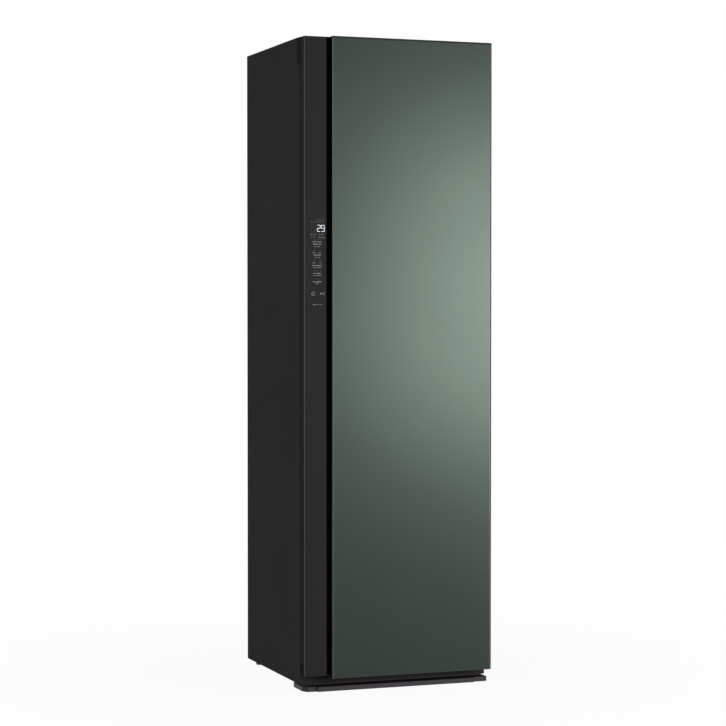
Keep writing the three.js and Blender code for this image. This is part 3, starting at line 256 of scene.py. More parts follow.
def rounded_block(low, high, radius, steps=4):
    """A block with round edges: a sphere's surface, split where each coordinate changes sign, with each
    eighth pushed out to its own corner, so that the flats are the quads between the eighths."""
    low, high = np.array(low, float), np.array(high, float)
    middle, reach = (low + high) / 2, (high - low) / 2 - radius
    quarter = np.linspace(0, np.pi / 2, steps + 1)
    lon = (np.arange(4)[:, None] * np.pi / 2 + quarter).ravel()
    side = np.repeat([[1, 1], [-1, 1], [-1, -1], [1, -1]], steps + 1, 0)
    lat = np.concatenate([quarter - np.pi / 2, quarter])
    up = np.repeat([-1, 1], steps + 1)
    out, rise = np.cos(lat)[None], np.sin(lat)[None]
    normal = np.stack(np.broadcast_arrays(out * np.cos(lon)[:, None], out * np.sin(lon)[:, None], rise), -1)
    corner = np.stack(np.broadcast_arrays(side[:, :1], side[:, 1:], up[None]), -1)
    return capped_grid(middle + corner * reach + normal * radius)


def upright_block(x, y, reach_x, reach_y, bottom, top, radius, steps=4):
    """A block with round edges about an upright line."""
    return rounded_block((x - reach_x, y - reach_y, bottom), (x + reach_x, y + reach_y, top), radius, steps)


def mirrored(half):
    """A profile made whole: its half with the heights turned over, then the half itself backwards."""
    return [(radius, -height) for radius, height in half] + half[::-1]


def turned(profile, centre, axis, steps):
    """A profile of (radius, height) points turned about an axis. The heights count from the centre."""
    profile = np.array(profile, float)
    angle = np.linspace(0, 2 * np.pi, steps, endpoint=False)[:, None]
    plane = np.stack([profile[:, 0] * np.cos(angle), profile[:, 0] * np.sin(angle)], -1)
    return capped_grid(to_space(plane, profile[:, 1][None], axis) + np.array(centre))


def hump(start, end, radius, height, axis, steps, rings, power):
    """A raised bead over the line from start to end on a flat face: rings of the line's outline shrink on to
    the line, and rise as the given power of one less the ring's squared share of the radius."""
    start, end = np.array(start, float), np.array(end, float)
    plane = [i for i in (X, Y, Z) if i != axis]
    step = end - start
    heading = math.atan2(step[plane[1]], step[plane[0]])
    half = np.linspace(-np.pi / 2, np.pi / 2, steps + 1)
    angle = np.concatenate([half, half + np.pi]) + heading
    core = np.repeat([end, start], steps + 1, 0)[:, None]
    ring = np.linspace(1, 0, rings)[None, :]
    points = np.repeat(core, rings, 1).copy()
    points[..., plane[0]] += radius * ring * np.cos(angle)[:, None]
    points[..., plane[1]] += radius * ring * np.sin(angle)[:, None]
    points[..., axis] += height * (1 - ring ** 2) ** power
    return capped_grid(points)


def tube(points, radius, sides):
    """A round tube along points: a circle at each, square to the line between the points beside it."""
    path = np.array(points, float)
    ahead = np.gradient(path, axis=0)
    ahead /= np.linalg.norm(ahead, axis=1, keepdims=True)
    reference = np.array([1.0, 0, 0]) if abs(ahead[:, 0]).max() < 0.9 else np.array([0, 0, 1.0])
    if abs(ahead @ reference).max() > 0.98:
        reference = np.array([0.13, 0.99, 0.07])
    across = np.cross(ahead, reference)
    across /= np.linalg.norm(across, axis=1, keepdims=True)
    third = np.cross(ahead, across)
    angle = np.linspace(0, 2 * np.pi, sides, endpoint=False)[:, None, None]
    radius = np.broadcast_to(np.asarray(radius, float), len(path))[None, :, None]
    return capped_grid(path[None] + radius * (np.cos(angle) * across[None] + np.sin(angle) * third[None]))


def grid_lines(low, high, marks, reach, coarse=0.03):
    """Rising coordinates from low to high, spaced coarsely, with close lines for a reach about each mark."""
    steps = 6
    near = [np.linspace(mark - reach, mark + reach, 2 * steps + 1) for mark in marks]
    lines = np.concatenate([np.linspace(low, high, max(2, int((high - low) / coarse))), *near])
    lines = np.unique(np.clip(lines, low, high).round(6))
    return lines[np.concatenate([[True], np.diff(lines) > reach / steps / 3])]


def pressed_sheet(u, v, level, axis, relief, thickness):
    """A thin sheet over a grid of its two flat axes, whose face is moved along the third by the relief, a
    function of the grid's coordinates. The second face follows at the thickness, and a rim joins the two."""
    flat = [i for i in (X, Y, Z) if i != axis]
    columns, rows = len(u), len(v)
    u, v = np.broadcast_arrays(u[:, None], v[None])
    face = np.zeros(u.shape + (3,))
    face[..., flat[0]], face[..., flat[1]] = u, v
    face[..., axis] = level + relief(u, v)
    other = face.copy()
    other[..., axis] += thickness
    number = columns * rows
    verts, quads = block_grid(face, False)
    index = np.arange(number).reshape(columns, rows)
    rim = np.concatenate([index[:-1, 0], index[-1, :-1], index[:0:-1, -1], index[0, :0:-1]])
    after = np.roll(rim, -1)
    walls = np.stack([rim, after, after + number, rim + number], -1).tolist()
    back = [[q[0] + number, q[3] + number, q[2] + number, q[1] + number] for q in quads]
    return np.vstack([verts, other.reshape(-1, 3)]), quads + back + walls


def ring_swept(profile, low, high, axis, radius):
    """A closed profile carried round a rectangle with round corners. A profile point is how far outwards it
    lies from the rectangle and its place along the axis; outward points get corners of a larger radius."""
    rings = []
    for out, along in profile:
        corners = [(low[0] - out, low[1] - out), (high[0] + out, low[1] - out),
                   (high[0] + out, high[1] + out), (low[0] - out, high[1] + out)]
        ring = filleted(corners, radius + out)
        rings.append(to_space(ring, np.full(len(ring), along), axis))
    points = np.stack(rings, 1)
    points = np.concatenate([points, points[:, :1]], 1)
    return block_grid(points, True)


def inside(u, v, low, high, radius):
    """How far a point lies inside a rectangle with round corners, negative outside: the radius less the
    distance from the rectangle that is smaller by the radius."""
    centre = ((low[0] + high[0]) / 2, (low[1] + high[1]) / 2)
    away_u = abs(u - centre[0]) - (high[0] - low[0]) / 2 + radius
    away_v = abs(v - centre[1]) - (high[1] - low[1]) / 2 + radius
    return radius - np.hypot(np.maximum(away_u, 0), np.maximum(away_v, 0)) - np.minimum(
        np.maximum(away_u, away_v), 0)


def spline(points, steps):
    """A smooth path through its points. Between two of them it is the blend of the lines through each pair of
    neighbours, timed by the square root of their distances."""
    points = np.array(points, float)
    points = np.vstack([2 * points[0] - points[1], points, 2 * points[-1] - points[-2]])
    path = []
    for p0, p1, p2, p3 in zip(points, points[1:], points[2:], points[3:]):
        t1 = np.linalg.norm(p1 - p0) ** 0.5
        t2 = t1 + np.linalg.norm(p2 - p1) ** 0.5
        t3 = t2 + np.linalg.norm(p3 - p2) ** 0.5
        t = np.linspace(t1, t2, steps, endpoint=False)[:, None]
        a1 = (t1 - t) / t1 * p0 + t / t1 * p1
        a2 = (t2 - t) / (t2 - t1) * p1 + (t - t1) / (t2 - t1) * p2
        a3 = (t3 - t) / (t3 - t2) * p2 + (t - t2) / (t3 - t2) * p3
        b1 = (t2 - t) / t2 * a1 + t / t2 * a2
        b2 = (t3 - t) / (t3 - t1) * a2 + (t - t1) / (t3 - t1) * a3
        path.append((t2 - t) / (t2 - t1) * b1 + (t - t1) / (t2 - t1) * b2)
    return np.vstack([*path, points[-2:-1]])


def screw_heads(places, axis, radius, height):
    """Round screw heads on a flat face, each a low dome that rises along the axis."""
    sunk = 0.0004
    feet = np.array(places, float) - sunk * np.eye(3)[axis]
    return [hump(foot, foot, radius, height + sunk, axis, 12, 6, 0.6) for foot in feet]


def shelf_step(distance, width=0.008):
    """Rises smoothly from 0 to 1 as the distance goes from 0 to the width: three times its square less twice
    its cube."""
    part = np.clip(distance / width, 0, 1)
    return part * part * (3 - 2 * part)


def flutes(u, v, middles, reach, start, end):
    """How high parallel flutes stand, from 0 to 1: a smooth step inwards from the edge of a long rectangle
    with round ends about each middle."""
    return sum(shelf_step(inside(u, v, (m - reach, start), (m + reach, end), reach)) for m in middles)


# ---------------------------------------------------------------- pieces


ROUNDED_FROM = math.radians(42)  # edges that turn further than this are rounded
FLAT_WITHIN = math.radians(0.6)  # faces that turn less than this belong to one flat
FLAT_WEIGHT = 80  # how much more a large face counts than a small one in the shading


def together(shells):
    """Several shells as one list of points and one of faces."""
    starts = np.cumsum([0] + [len(verts) for verts, _ in shells])
    faces = [[i + start for i in face] for (_, part), start in zip(shells, starts) for face in part]
    return np.vstack([verts for verts, _ in shells]), faces


def finish_mesh(mesh, smooth, merge=1e-6, whole_flats=False):
    """Merges doubled points, turns the faces outwards and keeps the edges sharp past an angle. Flats that are
    cut into triangles can be made whole again."""
    work = bmesh.new()
    work.from_mesh(mesh)
    bmesh.ops.remove_doubles(work, verts=work.verts, dist=merge)
    if whole_flats:
        bmesh.ops.dissolve_limit(
            work, angle_limit=FLAT_WITHIN, verts=work.verts, edges=work.edges, delimit={"NORMAL"})
    else:
        bmesh.ops.dissolve_degenerate(work, edges=work.edges, dist=merge / 2)
    bmesh.ops.recalc_face_normals(work, faces=work.faces)
    work.to_mesh(mesh)
    work.free()
    mesh.shade_smooth()
    mesh.set_sharp_from_angle(angle=math.radians(smooth))


def add_piece(name, shells, node, smooth=38.0, **how):
    """One finished piece from its shells. It rides with the node's body and takes the node's finish."""
    verts, faces = together(shells)
    mesh = bpy.data.meshes.new(name)
    mesh.from_pydata(verts.tolist(), [], faces)
    finish_mesh(mesh, smooth)
    return place_piece(name, mesh, node, **how)


def place_piece(name, mesh, node, slot=None, material=None, replaces=False, bevel=0.0, segments=2):
    """Puts a mesh in the scene as a piece of a node. It may have a finish of its own, stand for the node's
    solid, and have its edges rounded."""
    piece = bpy.data.objects.new(name, mesh)
    bpy.context.scene.collection.objects.link(piece)
    slot = slot or SLOT_OF[node]
    mesh.materials.append(bpy.data.materials[material or slot])
    if bevel:
        edges = piece.modifiers.new("Edges", "BEVEL")
        edges.width, edges.segments = bevel, segments
        edges.limit_method, edges.angle_limit = "ANGLE", ROUNDED_FROM
        edges.harden_normals = True
    weigh = piece.modifiers.new("Even flats", "WEIGHTED_NORMAL")
    weigh.keep_sharp = True
    weigh.weight = FLAT_WEIGHT
    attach(piece, BODY_OF[node])
    if replaces:
        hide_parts(node)
    return piece


def second_finish_or_painted_light(piece, material, chosen):
    """Gives a second material to the faces that a test of their normals picks: a second finish, a painted
    highlight or painted shade.
    """
    mesh = piece.data
    mesh.materials.append(bpy.data.materials[material])
    normals = np.zeros(len(mesh.polygons) * 3)
    mesh.polygons.foreach_get("normal", normals)
    mesh.polygons.foreach_set("material_index", chosen(*normals.reshape(-1, 3).T).astype(np.int32))


def dressed(node, bevel, segments=2, smooth=32.0):
    """A copy of a node's solid with its flat faces made whole again and its edges rounded."""
    mesh = frame["nodes"][node].data.copy()
    mesh.materials.clear()
    finish_mesh(mesh, smooth, 2e-6, True)
    return place_piece(node + "_piece", mesh, node, replaces=True, bevel=bevel, segments=segments)


def box(node):
    """A node's lowest and highest corners at rest."""
    low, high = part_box(node)
    return np.array(low), np.array(high)


# ---------------------------------------------------------------- materials


def painted(name, colour, roughness, metallic=0.0, **sockets):
    """A new material with one plain shader, whose even values are set on its own sockets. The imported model's
    own material of that name makes way for it."""
    packed = bpy.data.materials.get(name)
    if packed:
        packed.name = "packed_" + name
    material = bpy.data.materials.new(name)
    material.use_nodes = True
    shader = material.node_tree.nodes["Principled BSDF"]
    shader.inputs["Base Color"].default_value = (*colour, 1)
    shader.inputs["Roughness"].default_value = roughness
    shader.inputs["Metallic"].default_value = metallic
    for socket, value in sockets.items():
        shader.inputs[socket.replace("_", " ")].default_value = value
    return material


def pattern(material, kind, scale, stretch=(1, 1, 1), **settings):
    """A pattern on the piece's own coordinates. Gives the socket of its value."""
    tree = material.node_tree
    coordinates = tree.nodes.new("ShaderNodeTexCoord")
    mapping = tree.nodes.new("ShaderNodeMapping")
    mapping.inputs["Scale"].default_value = stretch
    texture = tree.nodes.new(kind)
    texture.inputs["Scale"].default_value = scale
    if "Detail" in texture.inputs:
        texture.inputs["Detail"].default_value = 3.0
    for key, value in settings.items():
        setattr(texture, key, value)
    tree.links.new(coordinates.outputs["Object"], mapping.inputs["Vector"])
    tree.links.new(mapping.outputs["Vector"], texture.inputs["Vector"])
    names = texture.outputs.keys()
    return texture.outputs["Fac" if "Fac" in names else ("Distance" if "Distance" in names else names[0])]


def between(material, value, low, high, start, end):
    """Spreads a value that runs from start to end between two numbers."""
    tree = material.node_tree
    spread = tree.nodes.new("ShaderNodeMapRange")
    spread.inputs["From Min"].default_value = start
    spread.inputs["From Max"].default_value = end
    spread.inputs["To Min"].default_value = low
    spread.inputs["To Max"].default_value = high
    tree.links.new(value, spread.inputs["Value"])
    return spread.outputs["Result"]


def tinted(material, value, colour, spread):
    """Lets the colour drift by a share each way with a pattern's value."""
    tree = material.node_tree
    mix = tree.nodes.new("ShaderNodeMix")
    mix.data_type = "RGBA"
    mix.inputs["A"].default_value = (*[c * (1 - spread) for c in colour], 1)
    mix.inputs["B"].default_value = (*[min(1, c * (1 + spread)) for c in colour], 1)
    tree.links.new(value, mix.inputs["Factor"])
    tree.links.new(mix.outputs["Result"], tree.nodes["Principled BSDF"].inputs["Base Color"])


def bumped(material, value, depth):
    """Raises the surface by a pattern's value times a depth in metres."""
    tree = material.node_tree
    bump = tree.nodes.new("ShaderNodeBump")
    bump.inputs["Distance"].default_value = depth
    tree.links.new(value, bump.inputs["Height"])
    tree.links.new(bump.outputs["Normal"], tree.nodes["Principled BSDF"].inputs["Normal"])


def combined(tree, operation, first, second):
    """Joins the values of two sockets by an operation. Gives the socket of the result."""
    step = tree.nodes.new("ShaderNodeMath")
    step.operation = operation
    tree.links.new(first, step.inputs[0])
    tree.links.new(second, step.inputs[1])
    return step.outputs[0]


def finish(name, colour, roughness, metallic=0.0, drift=0.05, patch=6.0, wear=0.03, grain=900.0, depth=2e-5,
           stretch=(1, 1, 1), kind="ShaderNodeTexNoise", **sockets):
    """A finish with a slow drift of colour, a slow change of gloss and a fine grain."""
    material = painted(name, colour, roughness, metallic, **sockets)
    tinted(material, pattern(material, "ShaderNodeTexNoise", patch), colour, drift)
    if wear:
        noise, reach = pattern(material, "ShaderNodeTexNoise", patch * 2.7), 2.5 * wear
        gloss = between(material, noise, roughness - reach, roughness + reach, 0, 1)
        material.node_tree.links.new(gloss, material.node_tree.nodes["Principled BSDF"].inputs["Roughness"])
    if depth:
        bumped(material, pattern(material, kind, grain, stretch), depth)
    return material


def make_materials(colours):
    """Every finish of the cabinet, under the names of its material slots."""
    def make(name, roughness, metallic=0.0, **look):
        finish(name, tuple(getattr(colours, name)), roughness, metallic, **look)

    dull = {"Specular_IOR_Level": 0.03}
    make("green_panel", 0.262, 0.75, drift=0.03, patch=2.2, wear=0.006, grain=2600, depth=3e-6,
           stretch=(1, 1, 0.25), Specular_IOR_Level=0.1)
    make("charcoal_steel", 0.8, 0.0, drift=0.05, patch=1.4, grain=1500, depth=1.5e-5,
           Specular_IOR_Level=0.04)
    make("door_edge", 0.85, drift=0.04, patch=5, grain=1400, depth=8e-6, **dull)
    # Painted highlight on the front panel's folds and ends
    make("green_edge", 0.36, 0.55, drift=0.03, patch=2.2, grain=2600, depth=3e-6,
           Specular_IOR_Level=0.1)
    make("control_glass", 0.5, drift=0.02, patch=3, wear=0.01, grain=2200, depth=2e-6,
           Specular_IOR_Level=0.04)
    # Painted highlight on the control strip's chamfer
    make("control_edge", 0.5, drift=0.02, grain=2200, depth=2e-6, **dull)
    make("frame_plastic", 0.8, grain=1100, depth=1.5e-5, **dull)
    make("trim_plastic", 0.85, grain=1200, depth=1.5e-5, **dull)
    make("black_plastic", 0.6, grain=1000, depth=2e-5, Specular_IOR_Level=0.05)
    make("base_plastic", 0.38, grain=1000, depth=2e-5, Specular_IOR_Level=0.06)
    # Painted shade on the covers' tops under the door
    make("cover_top", 0.9, grain=700, depth=4e-5, **dull)
    make("cap_face", 0.8, grain=1200, depth=1.5e-5, **dull)
    make("foot_plastic", 0.6, grain=700, depth=3e-5)
    make("zinc_steel", 0.42, 0.9, drift=0.16, patch=38, wear=0.1, grain=500, depth=1e-5)
    make("liner_plastic", 0.5, drift=0.02, patch=3, grain=900, depth=1.5e-5)
    make("foam", 0.95, drift=0.04, patch=60, wear=0, grain=420, depth=2e-4, kind="ShaderNodeTexVoronoi")
    make("gasket_rubber", 0.7, drift=0.08, patch=24, grain=800, depth=2e-5)
    make("foot_rubber", 0.75, drift=0.1, patch=60, grain=900, depth=4e-5)
    make("hose_rubber", 0.65, drift=0.08, patch=50, grain=900, depth=3e-5)
    make("fin_alloy", 0.35, 1.0, drift=0.08, patch=40, grain=700, depth=1e-5)
    make("cast_alloy", 0.5, 0.9, drift=0.1, patch=60, wear=0.08, grain=420, depth=8e-5)
    make("compressor_shell", 0.35, drift=0.08, patch=20, grain=160, depth=6e-5)
    make("copper", 0.28, 1.0, drift=0.14, patch=70, wear=0.08, grain=500, depth=8e-6)
    make("circuit_board", 0.4, drift=0.2, patch=300, grain=900, depth=2e-5)
    make("rail_chrome", 0.12, 1.0, drift=0.02, patch=20, wear=0.03, grain=900, depth=1e-6,
           stretch=(0.05, 1, 1))
    make("hanger_plastic", 0.45, drift=0.06, patch=20, grain=900, depth=1e-5)
    make("shelf_plastic", 0.5, drift=0.03, patch=10, grain=900, depth=2e-5)
    make("filter_plastic", 0.55, drift=0.06, patch=30, grain=900, depth=2e-5)
    make("tank_plastic", 0.22, drift=0.04, patch=8, wear=0.012, grain=500, depth=3e-6,
           Transmission_Weight=0.35)
    tint = tuple(colours.press_pad)
    cloth = painted("press_pad", tint, 0.92, Sheen_Weight=0.25, Specular_IOR_Level=0.2)
    tinted(cloth, pattern(cloth, "ShaderNodeTexNoise", 240, (1, 1, 0.2)), tint, 0.22)
    bumped(cloth, pattern(cloth, "ShaderNodeTexWave", 520, (1, 1, 1), wave_type="BANDS",
                          bands_direction="DIAGONAL"), 1.2e-4)
    make("print_grey", 0.5, drift=0.03, grain=900, depth=0)
    make("print_bright", 0.5, drift=0.03, grain=900, depth=0)
    make("unlit_bars", 0.5, drift=0.03, grain=900, depth=0, **dull)
    make("lamp_white", 0.6, drift=0.01, patch=20, grain=600, depth=1e-5,
           Emission_Strength=0.15, Emission_Color=(*colours.lamp_white, 1))
    finish("lit_digits", (0.2, 0.21, 0.22), 0.5, drift=0.03, grain=900, depth=0, Emission_Strength=1.0,
           Emission_Color=(0.93, 0.96, 1.0, 1))


class SteamCabinetFinishes(Operator):
    """Makes the materials and puts them on the nodes that keep their solids"""
    bl_idname = "steam_cabinet.finishes"
    bl_label = "Finishes"

    def execute(self, context):
        make_materials(context.scene.steam_cabinet_colours)
        for node, solid in frame["nodes"].items():
            solid.data.materials.clear()
            solid.data.materials.append(bpy.data.materials[SLOT_OF[node]])
        return {"FINISHED"}


# ---------------------------------------------------------------- door


class SteamCabinetFrontPanel(Operator):
    """The folded steel panel on the door's front"""
    bl_idname = "steam_cabinet.front_panel"
    bl_label = "Front panel"

    def execute(self, context):
        door = context.scene.steam_cabinet_door
        low, high = box("front_panel")
        back, sheet, fold = high[Y], door.sheet, door.fold
        corners = [
            (low[X], low[Y]), (high[X], low[Y]), (high[X], back), (high[X] - sheet, back),
            (high[X] - sheet, low[Y] + sheet), (low[X] + sheet, low[Y] + sheet), (low[X] + sheet, back),
            (low[X], back)]
        outline = filleted(corners, [fold, fold, 0.0002, 0.0002, fold - sheet, fold - sheet, 0.0002, 0.0002])
        panel = add_piece("front_panel_sheet", [swept(outline, Z, low[Z], high[Z])], "front_panel",
                          replaces=True, bevel=0.0003)
        # The folds and the ends take a lighter colour: a painted highlight where the folded edges catch light
        second_finish_or_painted_light(panel, "green_edge", lambda x, y, z: (np.minimum(abs(x), abs(y)) > 0.1) | (abs(z) > 0.9))
        return {"FINISHED"}


class SteamCabinetStrip(Operator):
    """The control strip, whose inner edge rolls back into the finger groove"""
    bl_idname = "steam_cabinet.strip"
    bl_label = "Control strip"

    def execute(self, context):
        door = context.scene.steam_cabinet_door
        low, high = box("control_strip")
        roll, wall, chamfer = door.strip_roll, door.strip_thickness, door.strip_chamfer
        corners = [
            (low[X], low[Y] + chamfer), (low[X] + chamfer, low[Y]), (high[X], low[Y]), (high[X], high[Y]),
            (high[X] - wall, high[Y]), (high[X] - wall, low[Y] + wall), (low[X], low[Y] + wall)]
        radii = [chamfer / 3, chamfer / 3, roll, 0.0004, 0.0004, roll - wall, 0.0004]
        strip = add_piece("control_strip_face", [swept(filleted(corners, radii, 10), Z, low[Z], high[Z])],
                          "control_strip", replaces=True, bevel=0.0003)
        # The outer chamfer takes a light grey: a painted highlight where the chamfer catches light
        second_finish_or_painted_light(strip, "control_edge", lambda x, y, z: (x < -0.3) & (y < -0.3))
        return {"FINISHED"}


SEGMENTS = {  # lit bars of each number: top, upper right, lower right, foot, lower left, upper left, middle
    0: "ABCDEF", 1: "BC", 2: "ABGED", 3: "ABGCD", 4: "FGBC", 5: "AFGCD", 6: "AFGECD", 7: "ABC", 8: "ABCDEFG",
    9: "ABCDFG"}


class SteamCabinetDisplayMarks(Operator):
    """The lit number, the printed marks and the two touch symbols on the control strip"""
    bl_idname = "steam_cabinet.display"
    bl_label = "Display"

    def execute(self, context):
        display = context.scene.steam_cabinet_display
        left, face, _ = box("control_strip")[0]
        proud, sunk = 0.00006, 0.0002

        def printed(outline):
            return swept(outline, Y, face - proud, face + sunk)

        def bar(x0, x1, z0, z1, radius=None):
            radius = radius if radius is not None else min(x1 - x0, z1 - z0) * 0.45
            return printed(filleted([(x0, z0), (x1, z0), (x1, z1), (x0, z1)], radius, 4))

        def digit(number, x0, z0):
            width, height, stroke = display.digit_width, display.digit_height, display.digit_stroke
            x1, z1, middle = x0 + width, z0 + height, z0 + height / 2
            half, inset = stroke / 2, stroke * 0.7
            bars = {
                "A": (x0 + inset, x1 - inset, z1 - stroke, z1),
                "D": (x0 + inset, x1 - inset, z0, z0 + stroke),
                "G": (x0 + inset, x1 - inset, middle - half, middle + half),
                "F": (x0, x0 + stroke, middle + half / 2, z1 - half / 2),
                "B": (x1 - stroke, x1, middle + half / 2, z1 - half / 2),
                "E": (x0, x0 + stroke, z0 + half / 2, middle - half / 2),
                "C": (x1 - stroke, x1, z0 + half / 2, middle - half / 2)}
            return [bar(*bars[key]) for key in SEGMENTS[number]]

        x0 = left + display.digits_left
        lit = digit(display.tens, x0, display.digits_base)
        lit += digit(display.units, x0 + display.digit_width + display.digit_gap, display.digits_base)
        bpy.data.materials["lit_digits"].node_tree.nodes["Principled BSDF"].inputs[
            "Emission Strength"].default_value = display.glow
        add_piece("display_number", lit, "control_strip", material="lit_digits")
        x0 = left + display.unlit_left
        unlit = digit(8, x0, display.digits_base)
        unlit += digit(1, x0 - display.digit_width - display.digit_stroke / 2, display.digits_base)
        add_piece("display_unlit", unlit, "control_strip", material="unlit_bars")

        def dashes(z, spans, height=display.print_height):
            return [bar(left + start / 1000, left + end / 1000, z - height / 2, z + height / 2, height * 0.3)
                    for start, end in spans]

        def dots(z, places, radius=0.0012):
            angle = np.linspace(0, 2 * np.pi, 16, endpoint=False)
            ring = radius * np.stack([np.cos(angle), np.sin(angle)], -1)
            return [printed(ring + np.array([left + x / 1000, z])) for x in places]

        # Rows of marks from the top, each with its places in millimetres from the door's left side
        both, three = (31.9, 50.8), (31.9, 41.4, 50.8)
        dim = dots(1.4134, (40.3, 48.6, 58.0), 0.0018) + dots(1.4071, (23.0, 31.8, 40.2, 49.0, 58.2), 0.0018)
        dim += dashes(1.3696, [(17.2, 23.8), (26, 30), (31.5, 37.6), (45.5, 52), (53.5, 61)])
        dim += dashes(1.3625, [(20.9, 25.7), (28.8, 33.4)]) + dashes(1.3608, [(43, 57.5)])
        bright = dashes(1.3608, [(58.5, 64.9)], 0.002)
        dim += dots(1.3532, three) + dashes(1.3473, [(24.5, 37), (39, 54.5)], 0.0036)
        bright += dashes(1.3404, [(27.2, 43), (46.1, 53.4)])
        dim += dashes(1.3334, [(31.5, 38.5), (40, 49)])
        dim += dots(1.3217, both) + dashes(1.3152, [(25.5, 35), (44.5, 54.5)])
        bright += dashes(1.3083, [(29.5, 39), (40.5, 52)])
        dim += dashes(1.3013, [(33, 41), (43.5, 50)])
        dim += dots(1.2920, both) + dashes(1.2854, [(25.3, 35.5), (46, 54.5)])
        bright += dashes(1.2770, [(25, 37), (38.5, 54.5)])
        dim += dashes(1.2711, [(28.5, 38), (40, 54)])
        dim += dots(1.2610, three)
        bright += dashes(1.2537, [(29, 35), (37.5, 52)])
        dim += dashes(1.2477, [(28.5, 35), (38, 54)])
        dim += dots(1.2367, (41.4,))
        bright += dashes(1.2289, [(26.5, 36.5), (38.5, 54)])
        dim += dashes(1.2237, [(35, 46)])
        bright += dashes(1.1610, [(26.5, 36.5)], 0.002)
        dim += dashes(1.1610, [(38.5, 46), (48, 56)], 0.0024)
        add_piece("display_print_dim", dim, "control_strip", material="print_grey")
        add_piece("display_print_bright", bright, "control_strip", material="print_bright")

        # The touch symbols: an open ring with a bar, and a triangle with two bars
        reach = display.key_size / 2
        stroke = reach * 0.3
        power, play, z = left + 0.0278, left + 0.0565, 1.1936
        turn = np.linspace(math.radians(125), math.radians(415), 33)
        ring = np.stack([np.cos(turn), np.sin(turn)], -1)
        arc = np.concatenate([ring * (reach - stroke), (ring * reach * 0.94)[::-1]]) * 0.9
        rise = reach * 0.62
        triangle = [(play - reach, z - rise), (play - reach * 0.05, z), (play - reach, z + rise)]
        keys = [printed(arc + np.array([power, z - reach * 0.1])),
                bar(power - stroke / 2, power + stroke / 2, z, z + reach * 0.95),
                printed(filleted(triangle, stroke * 0.3, 4))]
        keys += [bar(play + reach * at, play + reach * at + stroke, z - reach * 0.6, z + reach * 0.6)
                 for at in (0.2, 0.72)]
        add_piece("display_keys", keys, "control_strip", material="print_bright")
        return {"FINISHED"}


class SteamCabinetDoorTrim(Operator):
    """The finger groove, the door's sides and its two end caps"""
    bl_idname = "steam_cabinet.door_trim"
    bl_label = "Door trim"

    def execute(self, context):
        door = context.scene.steam_cabinet_door
        for node in ("grip_channel", "door_side_left", "door_side_right"):
            dressed(node, door.edge)
        # The lower cap's rear wall stands further forward, so that a dark slot shows beside the body
        cap = dressed("door_cap_bottom", door.edge).data
        spots = np.zeros(len(cap.vertices) * 3)
        cap.vertices.foreach_get("co", spots)
        rear_wall = box("door_cap_bottom")[1][Y] - 0.0035
        spots[1::3] -= np.where(spots[1::3] > rear_wall, door.cap_slot, 0)
        cap.vertices.foreach_set("co", spots)
        second_finish_or_painted_light(dressed("door_cap_top", door.edge), "cap_face", lambda x, y, z: y < -0.9)
        return {"FINISHED"}


# ---------------------------------------------------------------- body


class SteamCabinetSkins(Operator):
    """The outer skin: side panels, corner caps and kick plate"""
    bl_idname = "steam_cabinet.skins"
    bl_label = "Outer skin"

    def execute(self, context):
        body = context.scene.steam_cabinet_body
        for node in ("side_panel_left", "side_panel_right", "kick_plate"):
            dressed(node, body.skin_edge)
        for node in ("corner_cap_left", "corner_cap_right"):
            dressed(node, body.moulded_edge)
        return {"FINISHED"}


class SteamCabinetBase(Operator):
    """The foot covers and the rear feet"""
    bl_idname = "steam_cabinet.base"
    bl_label = "Base"

    def execute(self, context):
        body = context.scene.steam_cabinet_body
        for node in ("base_front_bar", "base_corner_left", "base_corner_right"):
            # The covers' upward faces take a darker colour: painted shade under the door
            second_finish_or_painted_light(dressed(node, body.cover_edge), "cover_top", lambda x, y, z: z > 0.9)
        for node in ("rear_foot_left", "rear_foot_right"):
            dressed(node, body.cover_edge)
        return {"FINISHED"}


